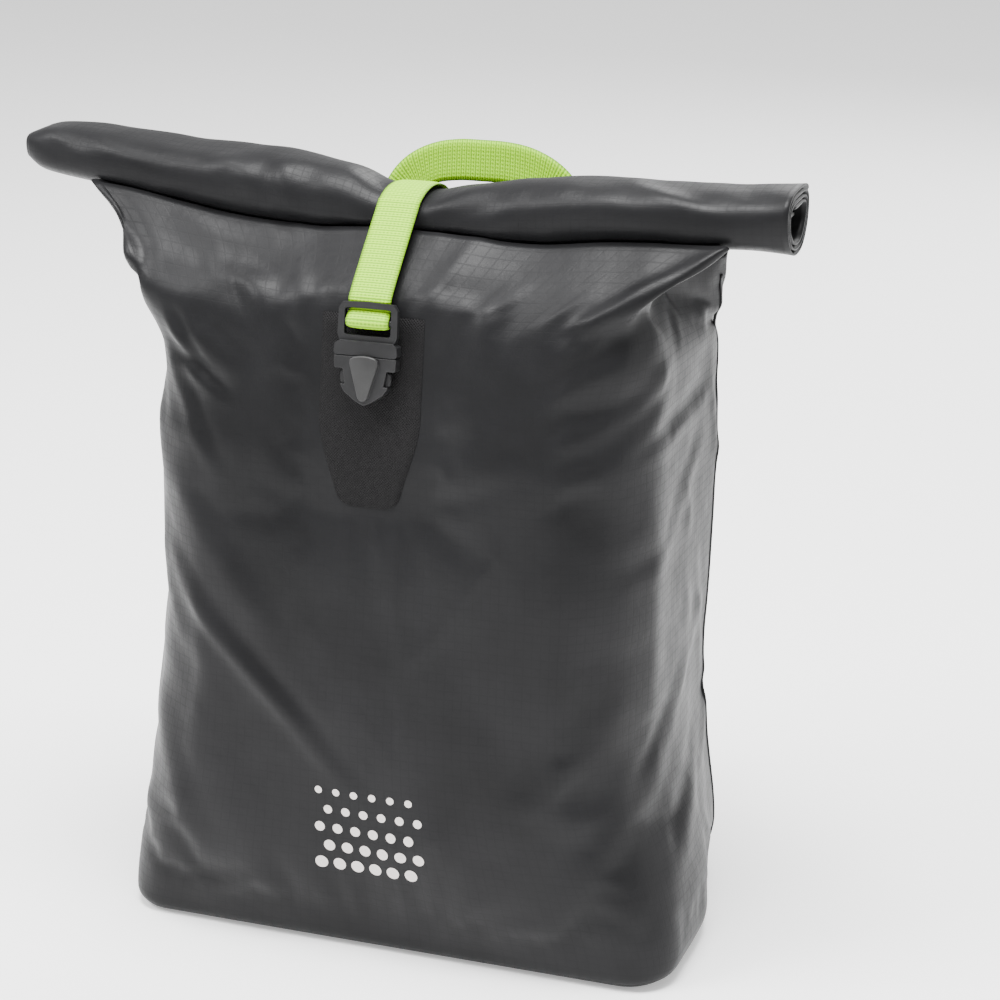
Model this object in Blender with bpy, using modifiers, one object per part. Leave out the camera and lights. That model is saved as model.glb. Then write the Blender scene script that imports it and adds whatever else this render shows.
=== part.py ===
"""Roll-top bicycle pannier bag.

X is the width, -Y the outer face, +Y the face towards the rack, +Z up.
The origin is the middle of the base, on the surface that the bag stands on.
"""

import math

import bmesh
import bpy
from mathutils import Matrix, Vector

MM = 0.001
GAP = 0.3 * MM  # between pieces that touch

# Bag body
BODY_WIDTH = 298 * MM
BODY_DEPTH = 186 * MM
WALL = 2 * MM
CORNER_RADIUS = 30 * MM
BASE_RADIUS = 15 * MM  # edge between the walls and the base
FRONT_BEND = 300 * MM  # height where the front starts to lean in
FRONT_SHOULDER = (-79 * MM, 392 * MM)  # Y, Z where the front turns in under the roll
FRONT_TOP = -54 * MM  # Y of the front's upper edge
BACK_BEND = 340 * MM  # height where the back starts to lean in
PANEL_TOP = 409 * MM
TOP_FLARE = 41 * MM  # how far each side spreads on its way up to the roll
FLARE_POWER = 1.7

# Roll closure
ROLL_LENGTH = 470 * MM
ROLL_CENTRE = (-18 * MM, 432 * MM)  # Y, Z
ROLL_SEMI = (28 * MM, 19 * MM)  # outer half-depth and half-height
ROLL_LAYER = 2.4 * MM
ROLL_PITCH = 3 * MM
ROLL_TURNS = 3.25

# Webbing, patches and buckle
WEB_WIDTH = 25 * MM
WEB_THICKNESS = 1.8 * MM
PATCH_THICKNESS = 1.2 * MM
BUCKLE_FOOT = 35 * MM  # distance of the buckle's tip above the front bend, along the slope
PRONG_ROOT = (10 * MM, 25 * MM)  # X of a prong's root, and its height above the buckle's tip

# Rack hardware
RAIL_HEIGHT = 300 * MM
RAIL_HALF = 96 * MM
HOOK_X = 62 * MM
HOOK_WIDTH = 38 * MM
LOWER_RAIL_HEIGHT = 112 * MM
LOWER_RAIL_HALF = 75 * MM
SCREW_RADIUS = 2 * MM
SCREW_HOLE = 2.4 * MM
PIN_RADIUS = 1.5 * MM

# D-rings and handle
D_RING_X = 96 * MM
D_RING_WIRE = 2.7 * MM
D_RING_BAR = (47 * MM, 6 * MM)  # distance up the back slope, height off it
HANDLE_HINGE = (96.5 * MM, 340 * MM)  # Y, Z

SIDES = (("left", -1), ("right", 1))
BACK_FACE = BODY_DEPTH / 2
SECTION_LEVELS = [z * MM for z in (2.3, 6, 10, 15, 75, 150, 225, 300, 320, 340, 366, 392, 409)]


def lean(low, high):
    """Angle off vertical of the line between two (Y, Z) points."""
    return math.atan2(high[0] - low[0], high[1] - low[1])


def tangent_angle(point, centre, semi, side):
    """Angle on an ellipse where the line from an outside point touches it."""
    y = (point[0] - centre[0]) / semi[0]
    z = (point[1] - centre[1]) / semi[1]
    return math.atan2(z, y) + side * math.acos(1 / math.hypot(y, z))


def on_ellipse(angle, centre, semi):
    return (centre[0] + semi[0] * math.cos(angle), centre[1] + semi[1] * math.sin(angle))


FRONT_FOOT = (-BODY_DEPTH / 2, FRONT_BEND)
BACK_FOOT = (BODY_DEPTH / 2, BACK_BEND)
BACK_TOUCH = tangent_angle(BACK_FOOT, ROLL_CENTRE, ROLL_SEMI, 1)
BACK_HEAD = on_ellipse(BACK_TOUCH, ROLL_CENTRE, ROLL_SEMI)
FRONT_LEAN = lean(FRONT_FOOT, FRONT_SHOULDER)
BACK_LEAN = lean(BACK_FOOT, BACK_HEAD)

# Frames whose Z runs up a slope; Y points into the bag at the front and out of it at the back.
FRONT_SLOPE = Matrix.Translation((0, *FRONT_FOOT)) @ Matrix.Rotation(-FRONT_LEAN, 4, "X")
BACK_SLOPE = Matrix.Translation((0, *BACK_FOOT)) @ Matrix.Rotation(-BACK_LEAN, 4, "X")
BUCKLE_FRAME = FRONT_SLOPE @ Matrix.Translation((0, 0, BUCKLE_FOOT))

# Turn the XY plane that outlines are drawn in: the first extrudes along X, the second along -Y.
DRAWN_YZ = Matrix(((0, 0, 1, 0), (1, 0, 0, 0), (0, 1, 0, 0), (0, 0, 0, 1)))
DRAWN_XZ = Matrix(((1, 0, 0, 0), (0, 0, -1, 0), (0, 1, 0, 0), (0, 0, 0, 1)))


# Scene helpers


def clear_scene():
    for obj in list(bpy.data.objects):
        bpy.data.objects.remove(obj, do_unlink=True)


def new_collection(name):
    collection = bpy.data.collections.new(name)
    bpy.context.scene.collection.children.link(collection)
    return collection


def new_material(name, colour, roughness, metallic=0.0):
    material = bpy.data.materials.new(name)
    material.use_nodes = True
    shader = material.node_tree.nodes["Principled BSDF"]
    shader.inputs["Base Color"].default_value = (*colour, 1)
    shader.inputs["Roughness"].default_value = roughness
    shader.inputs["Metallic"].default_value = metallic
    return material


clear_scene()
PARTS = new_collection("pannier_bag")
CUTTERS = new_collection("cutters")
FABRIC = new_material("coated_fabric", (0.035, 0.035, 0.038), 0.42)
PATCH = new_material("patch_fabric", (0.02, 0.02, 0.021), 0.7)
WEBBING = new_material("webbing", (0.5, 0.75, 0.06), 0.65)
PLASTIC = new_material("moulded_plastic", (0.03, 0.03, 0.032), 0.4)
BOARD = new_material("board", (0.25, 0.25, 0.26), 0.55)
ALUMINIUM = new_material("anodised_rail", (0.12, 0.12, 0.13), 0.35, 1.0)
STEEL = new_material("steel", (0.55, 0.55, 0.56), 0.3, 1.0)
INSERT = new_material("hook_insert", (0.1, 0.1, 0.1), 0.5)


def place(mesh, name, material, matrix=None, origin=(0, 0, 0)):
    """Add a mesh as a part; matrix moves its points, and origin becomes its own centre."""
    mesh.transform(Matrix.Translation(-Vector(origin)) @ (matrix or Matrix()))
    mesh.materials.clear()
    if material:
        mesh.materials.append(material)
    obj = bpy.data.objects.new(name, mesh)
    obj.location = origin
    (PARTS if material else CUTTERS).objects.link(obj)
    if not material:
        obj.hide_render = True
        obj.display_type = "WIRE"
    return obj


def mesh_from(bm, name):
    bmesh.ops.recalc_face_normals(bm, faces=bm.faces)
    mesh = bpy.data.meshes.new(name)
    bm.to_mesh(mesh)
    bm.free()
    return mesh


def outline_mesh(name, outline, thickness, holes=()):
    """A flat outline as a filled 2D curve, extruded about its own plane, as a mesh."""
    curve = bpy.data.curves.new(name, "CURVE")
    curve.dimensions = "2D"
    curve.fill_mode = "BOTH"
    curve.extrude = thickness / 2
    for loop in (outline, *holes):
        spline = curve.splines.new("POLY")
        spline.points.add(len(loop) - 1)
        for point, (x, y) in zip(spline.points, loop):
            point.co = (x, y, 0, 1)
        spline.use_cyclic_u = True
    return curve_mesh(curve, name)


def curve_mesh(curve, name):
    """The mesh of a curve, with its caps welded to its sides."""
    guide = bpy.data.objects.new(name + "_guide", curve)
    bpy.context.scene.collection.objects.link(guide)
    bpy.context.view_layer.update()
    evaluated = guide.evaluated_get(bpy.context.evaluated_depsgraph_get())
    mesh = bpy.data.meshes.new_from_object(evaluated)
    bpy.data.objects.remove(guide, do_unlink=True)
    bpy.data.curves.remove(curve)
    bm = bmesh.new()
    bm.from_mesh(mesh)
    bmesh.ops.remove_doubles(bm, verts=bm.verts, dist=1e-6)
    bpy.data.meshes.remove(mesh)
    return mesh_from(bm, name)


def plate(name, outline, thickness, matrix, material, holes=(), origin=(0, 0, 0)):
    return place(outline_mesh(name, outline, thickness, holes), name, material, matrix, origin)


def tube(name, points, radius, material, matrix=None, cyclic=False, resolution=2, origin=(0, 0, 0)):
    curve = bpy.data.curves.new(name, "CURVE")
    curve.dimensions = "3D"
    curve.bevel_depth = radius
    curve.bevel_resolution = resolution
    curve.use_fill_caps = not cyclic
    spline = curve.splines.new("POLY")
    spline.points.add(len(points) - 1)
    for point, co in zip(spline.points, points):
        point.co = (*co, 1)
    spline.use_cyclic_u = cyclic
    return place(curve_mesh(curve, name), name, material, matrix, origin)


def box(name, low, high, material, matrix=None):
    size = Vector(high) - Vector(low)
    bm = bmesh.new()
    bmesh.ops.create_cube(bm, size=1)
    bmesh.ops.scale(bm, vec=size, verts=bm.verts)
    bmesh.ops.translate(bm, vec=(Vector(low) + Vector(high)) / 2, verts=bm.verts)
    return place(mesh_from(bm, name), name, material, matrix)


def rod(name, start, end, radius, material, matrix=None, segments=24):
    """A cylinder between two points."""
    along = Vector(end) - Vector(start)
    turn = along.to_track_quat("Z", "Y").to_matrix().to_4x4()
    bm = bmesh.new()
    bmesh.ops.create_cone(
        bm, cap_ends=True, segments=segments, radius1=radius, radius2=radius, depth=along.length
    )
    mesh = mesh_from(bm, name)
    mesh.transform(Matrix.Translation((Vector(start) + Vector(end)) / 2) @ turn)
    return place(mesh, name, material, matrix)


def combine(target, tools, operation):
    """Join, cut or trim a part with meshes that then stay hidden among the cutters."""
    for tool in tools:
        step = target.modifiers.new(operation.lower() + "_" + tool.name, "BOOLEAN")
        step.operation = operation
        step.solver = "EXACT"
        step.object = tool
    return target


def rounded_rectangle(left, low, right, high, radius, steps=4):
    """Outline of a rectangle with round corners, anticlockwise."""
    corners = (
        (right - radius, high - radius, 0),
        (left + radius, high - radius, 90),
        (left + radius, low + radius, 180),
        (right - radius, low + radius, 270),
    )
    return [
        (
            x + radius * math.cos(math.radians(start + 90 * i / steps)),
            y + radius * math.sin(math.radians(start + 90 * i / steps)),
        )
        for x, y, start in corners
        for i in range(steps + 1)
    ]


def circle(x, y, radius, segments=24):
    turn = 2 * math.pi / segments
    return [(x + radius * math.cos(i * turn), y + radius * math.sin(i * turn)) for i in range(segments)]


def shifted(path, distance):
    """A path moved sideways to its left by a distance, with mitred corners."""
    moved = []
    for i, here in enumerate(path):
        before = path[max(i - 1, 0)]
        after = path[min(i + 1, len(path) - 1)]
        into = Vector(here if i else after) - Vector(before if i else here)
        out = Vector(after if i < len(path) - 1 else here) - Vector(here if i < len(path) - 1 else before)
        left = Vector((-into.y, into.x)).normalized()
        turned = Vector((-out.y, out.x)).normalized()
        mitre = (left + turned).normalized()
        moved.append(tuple(Vector(here) + mitre * distance / mitre.dot(left)))
    return moved


def band(name, path, thickness, width, matrix, material):
    """A strap of constant width whose middle follows a path drawn in (Y, Z)."""
    outline = shifted(path, thickness / 2) + shifted(path, -thickness / 2)[::-1]
    return plate(name, outline, width, matrix @ DRAWN_YZ, material)


# Bag body


def section(z):
    """Half-width, front Y, back Y and corner radius of the bag at a height."""
    flare = max(0.0, z - FRONT_BEND) / (PANEL_TOP - FRONT_BEND)
    inset = 0.0
    if z < BASE_RADIUS:
        inset = BASE_RADIUS - math.sqrt(BASE_RADIUS**2 - (BASE_RADIUS - z) ** 2)
    front = FRONT_FOOT[0] + max(0.0, z - FRONT_BEND) * math.tan(FRONT_LEAN)
    if z > FRONT_SHOULDER[1]:
        turn = (z - FRONT_SHOULDER[1]) / (PANEL_TOP - FRONT_SHOULDER[1])
        front = FRONT_SHOULDER[0] + (FRONT_TOP - FRONT_SHOULDER[0]) * turn
    back = BACK_FOOT[0] + max(0.0, z - BACK_BEND) * math.tan(BACK_LEAN)
    half = BODY_WIDTH / 2 + TOP_FLARE * flare**FLARE_POWER
    return half - inset, front + inset, back - inset, CORNER_RADIUS - inset


def section_ring(z, corner_steps=4):
    """Points round the bag at a height, from the back right corner clockwise seen from above."""
    half, front, back, radius = section(z)
    corners = (
        (half - radius, back - radius, 90),
        (half - radius, front + radius, 0),
        (radius - half, front + radius, -90),
        (radius - half, back - radius, -180),
    )
    return [
        (
            x + radius * math.cos(math.radians(start - 90 * i / corner_steps)),
            y + radius * math.sin(math.radians(start - 90 * i / corner_steps)),
            z,
        )
        for x, y, start in corners
        for i in range(corner_steps + 1)
    ]


def wall_panel(name, first, last):
    """A stretch of the bag's wall between two points of its section, as an open sheet with Solidify.

    Its two upright edges stand back by a gap from the neighbouring panel's edges.
    """
    bm = bmesh.new()
    rows = []
    for z in SECTION_LEVELS:
        ring = [Vector(p) for p in section_ring(z)]
        points = [ring[i % len(ring)] for i in range(first, last + 1)]
        points[0] = points[0] + (points[1] - points[0]).normalized() * GAP
        points[-1] = points[-1] + (points[-2] - points[-1]).normalized() * GAP
        rows.append([bm.verts.new(p) for p in points])
    for low, high in zip(rows, rows[1:]):
        for i in range(len(low) - 1):
            bm.faces.new((low[i + 1], low[i], high[i], high[i + 1]))
    mesh = bpy.data.meshes.new(name)
    bm.to_mesh(mesh)
    bm.free()
    obj = place(mesh, name, FABRIC)
    shell = obj.modifiers.new("wall", "SOLIDIFY")
    shell.thickness = WALL
    shell.offset = -1
    shell.use_even_offset = True
    return obj


def seam_bead(name, side):
    """The welded edge where the side meets the back panel."""
    stand_off = 1.7 * MM
    points = []
    for z in SECTION_LEVELS[3:]:
        half, _, back, radius = section(z)
        points.append((side * (half + stand_off), back - radius, z))
    return tube(name, points, 1.1 * MM, FABRIC)


def build_body():
    # The section's points 0 to 4 and 15 to 19 are the back corners.
    wall_panel("main_panel", 4, 15)
    wall_panel("back_panel", 15, 24)
    half, front, back, radius = section(SECTION_LEVELS[0])
    tuck = WALL + 1 * MM
    outline = rounded_rectangle(
        -half + tuck, front + tuck, half - tuck, back - tuck, radius - tuck, 6
    )
    plate("base_panel", outline, WALL, Matrix.Translation((0, 0, WALL / 2)), FABRIC)
    for word, side in SIDES:
        seam_bead("seam_" + word, side)
    plate(
        "stiffener_board",
        rounded_rectangle(-105 * MM, 14 * MM, 105 * MM, 334 * MM, 12 * MM),
        3 * MM,
        Matrix.Translation((0, BACK_FACE - WALL - 3.5 * MM, 0)) @ DRAWN_XZ,
        BOARD,
    )


# Roll closure


def roll_spiral(inward):
    """Points of one face of the rolled layers, from the back slope round over the top."""
    steps = int(20 * ROLL_TURNS)
    points = []
    for i in range(steps + 1):
        turn = ROLL_TURNS * i / steps
        semi = [s - ROLL_PITCH * turn - inward for s in ROLL_SEMI]
        points.append(on_ellipse(BACK_TOUCH + 2 * math.pi * turn, ROLL_CENTRE, semi))
    return points


def build_roll():
    rise = 413 * MM - BACK_FOOT[1]
    outer_foot = (BACK_FOOT[0] + rise * math.tan(BACK_LEAN), 413 * MM)
    inner_foot = (outer_foot[0] - ROLL_LAYER / math.cos(BACK_LEAN), 413 * MM)
    outline = [outer_foot] + roll_spiral(0) + roll_spiral(ROLL_LAYER)[::-1] + [inner_foot]
    plate("roll_top", outline, ROLL_LENGTH, DRAWN_YZ, FABRIC)
    y, z = ROLL_CENTRE
    box(
        "mouth_stiffener",
        (-220 * MM, y - 12.5 * MM, z - 1 * MM),
        (220 * MM, y + 12.5 * MM, z + 1 * MM),
        BOARD,
    )


# Closure strap, patches and buckle


def build_front_patch():
    """Coarse patch that follows the front over its bend and narrows below the buckle."""
    top, wide, narrow, foot = 84 * MM, 30 * MM, 18 * MM, 276 * MM
    rise = Vector((math.sin(FRONT_LEAN), math.cos(FRONT_LEAN))) * top
    path = [(FRONT_FOOT[0], foot), FRONT_FOOT, tuple(Vector(FRONT_FOOT) + rise)]
    middle = shifted(path, GAP + PATCH_THICKNESS / 2)
    patch = band("front_patch", middle, PATCH_THICKNESS, 2 * wide, Matrix(), PATCH)
    high = path[-1][1] + 2 * MM
    low = foot - 8 * MM
    taper = foot + 50 * MM
    outline = [
        (-wide, high),
        (-wide, taper),
        (-narrow - 4 * MM, foot + 10 * MM),
        (-narrow + 3 * MM, low),
        (narrow - 3 * MM, low),
        (narrow + 4 * MM, foot + 10 * MM),
        (wide, taper),
        (wide, high),
    ]
    shape = plate("front_patch_shape", outline, 300 * MM, DRAWN_XZ, None)
    combine(patch, [shape], "INTERSECT")


def build_strap_patch():
    outline = rounded_rectangle(-30 * MM, 86 * MM, 30 * MM, 126 * MM, 8 * MM)
    lift = Matrix.Translation((0, GAP + PATCH_THICKNESS / 2, 0))
    plate("strap_patch", outline, PATCH_THICKNESS, BACK_SLOPE @ lift @ DRAWN_XZ, PATCH)


def slope_point(frame, up, out):
    """(Y, Z) of a point given by its distance up a slope and its height off it."""
    facing = -1 if frame in (FRONT_SLOPE, BUCKLE_FRAME) else 1
    spot = frame @ Vector((0, facing * out, up))
    return (spot.y, spot.z)


LADDER_BAR = (46 * MM, 6.8 * MM)  # up from the buckle's tip, and off the slope


def build_closure_strap():
    """One length of webbing: sewn to the back patch, over the roll, and round the ladder bar."""
    lift = 2.8 * MM
    semi = tuple(s + lift for s in ROLL_SEMI)
    path = [slope_point(BACK_SLOPE, up, lift) for up in (92 * MM, 122 * MM)]
    arrive = slope_point(BUCKLE_FRAME, 60 * MM, 3.8 * MM)
    leave = tangent_angle(arrive, ROLL_CENTRE, semi, -1) % (2 * math.pi)
    steps = 16
    for i in range(steps + 1):
        angle = BACK_TOUCH + (leave - BACK_TOUCH) * i / steps
        path.append(on_ellipse(angle, ROLL_CENTRE, semi))
    path.append(arrive)
    path.append(slope_point(BUCKLE_FRAME, 53.2 * MM, 3.8 * MM))
    wrap = 2.9 * MM
    for degrees in (35, 65, 95, 130, 165, 200, 235, 265):
        up = LADDER_BAR[0] + wrap * math.cos(math.radians(degrees))
        out = LADDER_BAR[1] + wrap * math.sin(math.radians(degrees))
        path.append(slope_point(BUCKLE_FRAME, up, out))
    band("closure_strap", path, WEB_THICKNESS, WEB_WIDTH, Matrix(), WEBBING)


def buckle_plate(name, outline, low, high, material, holes=(), origin=(0, 0, 0)):
    """An outline drawn on the front slope in X and distance up, between two heights off it."""
    lift = Matrix.Translation((0, -(low + high) / 2, 0))
    return plate(name, outline, high - low, BUCKLE_FRAME @ lift @ DRAWN_XZ, material, holes, origin)


def mirrored(half_outline):
    """A closed outline from the points of its right half, listed from bottom to top."""
    return half_outline + [(-x, y) for x, y in reversed(half_outline) if x > 0]


def millimetres(points):
    return [(x * MM, y * MM) for x, y in points]


def build_female():
    body = mirrored(
        millimetres(
            [(0, 0), (5, 2.5), (11.5, 7), (13.5, 10), (14.5, 12.5), (16, 17), (18, 21), (18.4, 27)]
        )
    )
    female = buckle_plate("buckle_female", body, 3.4 * MM, 10.6 * MM, PLASTIC)
    channel = mirrored(millimetres([(0, 6), (9, 6.5), (12.2, 9), (15.4, 14.5), (15.3, 18), (14.4, 30)]))
    windows = [
        buckle_plate(
            "female_window_" + word,
            millimetres([(side * 11.5, 11.4), (side * 22, 11.4), (side * 22, 20), (side * 13, 20)]),
            2 * MM,
            12 * MM,
            None,
        )
        for word, side in SIDES
    ]
    tongue = mirrored(millimetres([(0, 3.2), (3, 5), (8.5, 23), (6.5, 25.5), (3, 26.2)]))
    raised = buckle_plate("female_tongue", tongue, 9.6 * MM, 11.8 * MM, None)
    slot = buckle_plate("female_channel", channel, 5 * MM, 9 * MM, None)
    combine(female, [raised], "UNION")
    combine(female, [slot, *windows], "DIFFERENCE")


def build_male():
    frame_hole = rounded_rectangle(-13.6 * MM, 38.5 * MM, 13.6 * MM, 53.5 * MM, 1.5 * MM, 2)
    outer = mirrored(millimetres([(14.5, 33), (16.5, 36), (17.5, 39), (17.2, 53), (15, 56.4), (0, 57.2)]))
    male = buckle_plate("buckle_male", outer, 5 * MM, 8.6 * MM, PLASTIC, [frame_hole])
    shoulder = mirrored(millimetres([(17.6, 27.5), (18.6, 29), (18.2, 33.5), (15.5, 35.4)]))
    guide = rounded_rectangle(-3.3 * MM, 9 * MM, 3.3 * MM, 30 * MM, 1.2 * MM, 2)
    bar_ends = [
        (side * 15.5 * MM, -LADDER_BAR[1], LADDER_BAR[0]) for _, side in SIDES
    ]
    joined = [
        buckle_plate("male_shoulder", shoulder, 3.4 * MM, 10.6 * MM, None),
        buckle_plate("male_guide", guide, 5.3 * MM, 8.7 * MM, None),
        rod("male_ladder_bar", *bar_ends, 1.7 * MM, None, BUCKLE_FRAME, 12),
    ]
    combine(male, joined, "UNION")


def build_prongs():
    """Spring arms of the male buckle, each with its root on its flexing axis."""
    for word, side in SIDES:
        root = BUCKLE_FRAME @ Vector((side * PRONG_ROOT[0], 0, PRONG_ROOT[1]))
        arm = [
            (8.2, 25),
            (8.6, 26.4),
            (10, 27.1),
            (11.4, 26.4),
            (11.9, 24),
            (12.6, 19.5),
            (14.6, 18.2),
            (15.1, 15.5),
            (14.7, 12.6),
            (12.6, 10.6),
            (10.8, 11.2),
            (9.6, 14),
        ]
        outline = millimetres([(side * x, up) for x, up in arm[::side]])
        buckle_plate("buckle_prong_" + word, outline, 5.4 * MM, 8.6 * MM, PLASTIC, (), tuple(root))


def build_buckle():
    tab = rounded_rectangle(-10 * MM, 4 * MM, 10 * MM, 34 * MM, 2 * MM)
    buckle_plate("buckle_tab", tab, 1.8 * MM, 3 * MM, WEBBING)
    build_female()
    build_male()
    build_prongs()


# D-rings and carry handle


def build_d_rings():
    bar_up, bar_out = D_RING_BAR
    half, height, steps = 15.8 * MM, 24 * MM, 12
    wrap = D_RING_WIRE + GAP + WEB_THICKNESS / 2
    flat = GAP + WEB_THICKNESS / 2
    second = flat + GAP + WEB_THICKNESS
    for word, side in SIDES:
        frame = BACK_SLOPE @ Matrix.Translation((side * D_RING_X, 0, 0))
        arc = [
            (
                half * math.cos(math.pi * i / steps),
                bar_out,
                bar_up + height * math.sin(math.pi * i / steps),
            )
            for i in range(steps + 1)
        ]
        arc[0] = (half, bar_out, bar_up + 1.5 * MM)
        arc[-1] = (-half, bar_out, bar_up + 1.5 * MM)
        corner = half - 1.5 * MM
        points = arc + [(-corner, bar_out, bar_up), (corner, bar_out, bar_up)]
        origin = tuple(frame @ Vector((0, bar_out, bar_up)))
        tube("d_ring_" + word, points, D_RING_WIRE, PLASTIC, frame, True, 2, origin)
        path = [(flat, 12 * MM), (flat, 36 * MM)]
        for degrees in range(200, -31, -30):
            angle = math.radians(degrees)
            path.append((bar_out + wrap * math.cos(angle), bar_up + wrap * math.sin(angle)))
        path += [(second + 0.4 * MM, 33 * MM), (second, 30 * MM), (second, 12 * MM)]
        band("d_ring_tab_" + word, path, WEB_THICKNESS, WEB_WIDTH, frame, WEBBING)


def build_handle():
    """Webbing grab handle: a flat arch that stands up behind the roll."""
    y, z = HANDLE_HINGE
    foot = z + 2 * MM
    outer = [(76 * MM, foot), (46 * MM, 440 * MM), (40 * MM, 444 * MM)]
    inner = [(53 * MM, foot), (37 * MM, 416 * MM), (33 * MM, 419 * MM)]
    outline = outer + [(-x, up) for x, up in outer[::-1]]
    outline += [(-x, up) for x, up in inner] + inner[::-1]
    matrix = Matrix.Translation((0, y, 0)) @ DRAWN_XZ
    plate("carry_handle", outline, 2.4 * MM, matrix, WEBBING, (), (0, y, z))
    for word, side in SIDES:
        low = (side * 64.5 * MM - WEB_WIDTH / 2, BACK_FACE + GAP, 318 * MM)
        high = (side * 64.5 * MM + WEB_WIDTH / 2, BACK_FACE + GAP + WEB_THICKNESS, 339 * MM)
        box("handle_anchor_" + word, low, high, WEBBING)


# Rails


def rail_frame(height):
    """Frame of a rail: Y is the distance out from the back panel and Z is level with the rail."""
    return Matrix.Translation((0, BACK_FACE, height))


T_PROFILE = [(0.4, -14), (3.4, -14), (3.4, -5), (7.4, -5), (7.4, -10), (10.4, -10)]


def rail_outline():
    """A T slot rail seen from its end, as distance out and height."""
    low = millimetres(T_PROFILE)
    return low + [(out, -up) for out, up in reversed(low)]


def screw(name, x, up, head_out, tip_out, frame):
    """Pan head screw that enters the bag from behind."""
    body = rod(
        name, (x, tip_out, up), (x, head_out + 1 * MM, up), SCREW_RADIUS, STEEL, frame, 16
    )
    head = rod(
        name + "_head", (x, head_out, up), (x, head_out + 2.4 * MM, up), 4 * MM, None, frame, 20
    )
    return combine(body, [head], "UNION")


def drill(name, places, frame, depth=60 * MM):
    """Cutters for screw holes, one at each (X, up) place."""
    return [
        rod(f"{name}_{i}", (x, -depth, up), (x, depth, up), SCREW_HOLE, None, frame, 16)
        for i, (x, up) in enumerate(places)
    ]


def build_top_rail():
    frame = rail_frame(RAIL_HEIGHT)
    plate("top_rail", rail_outline(), 2 * RAIL_HALF, frame @ DRAWN_YZ, ALUMINIUM)
    holes = []
    for word, side in SIDES:
        near, far = RAIL_HALF - 4 * MM, RAIL_HALF + 13 * MM
        end = box(
            "rail_end_" + word,
            (min(side * near, side * far), GAP, -16 * MM),
            (max(side * near, side * far), 11.6 * MM, 16 * MM),
            PLASTIC,
            frame,
        )
        pocket_end = side * (RAIL_HALF + GAP)
        pocket_start = side * (near - 5 * MM)
        middle = (pocket_end + pocket_start) / 2
        grown = [(-1 * MM, -14.4 * MM), (3.8 * MM, -14.4 * MM), (3.8 * MM, -10.4 * MM)]
        grown.append((10.8 * MM, -10.4 * MM))
        grown += [(out, -up) for out, up in reversed(grown)]
        pocket = plate(
            "rail_end_pocket_" + word,
            grown,
            abs(pocket_end - pocket_start),
            frame @ Matrix.Translation((middle, 0, 0)) @ DRAWN_YZ,
            None,
        )
        places = [(side * (RAIL_HALF + 6.5 * MM), up) for up in (-8 * MM, 8 * MM)]
        drills = drill("rail_drill_" + word, places, frame)
        combine(end, [pocket, *drills], "DIFFERENCE")
        holes += drills
        for (x, up), level in zip(places, ("lower", "upper")):
            screw(f"rail_screw_{word}_{level}", x, up, 11.9 * MM, -10.5 * MM, frame)
        x = side * (RAIL_HALF + 3 * MM)
        backing = box(
            "backing_plate_" + word,
            (x - 5.5 * MM, -9.2 * MM, -15 * MM),
            (x + 5.5 * MM, -7.4 * MM, 15 * MM),
            STEEL,
            frame,
        )
        combine(backing, drills, "DIFFERENCE")
    return holes


def build_lower_rail():
    frame = rail_frame(LOWER_RAIL_HEIGHT)
    rail = plate("lower_rail", rail_outline(), 2 * LOWER_RAIL_HALF, frame @ DRAWN_YZ, ALUMINIUM)
    ears = box(
        "lower_rail_ears",
        (-LOWER_RAIL_HALF - 12 * MM, 0.4 * MM, -14 * MM),
        (LOWER_RAIL_HALF + 12 * MM, 3.4 * MM, 14 * MM),
        None,
        frame,
    )
    places = [(side * (LOWER_RAIL_HALF + 6 * MM), 0) for _, side in SIDES]
    drills = drill("lower_drill", places, frame)
    combine(rail, [ears], "UNION")
    combine(rail, drills, "DIFFERENCE")
    for (x, up), (word, _) in zip(places, SIDES):
        screw("lower_rail_screw_" + word, x, up, 3.7 * MM, -10.5 * MM, frame)
    backing = box(
        "lower_backing_plate",
        (-LOWER_RAIL_HALF - 11 * MM, -9.2 * MM, -7 * MM),
        (LOWER_RAIL_HALF + 11 * MM, -7.4 * MM, 7 * MM),
        STEEL,
        frame,
    )
    combine(backing, drills, "DIFFERENCE")
    return drills


SLOT = [(3.9, -14), (16, -14), (16, -10), (16, 14), (3.9, 14), (3.9, 5.6), (7, 5.6), (7, 10.5)]
SLOT += [(10.8, 10.5), (10.8, -10.5), (7, -10.5), (7, -5.6), (3.9, -5.6)]


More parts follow.
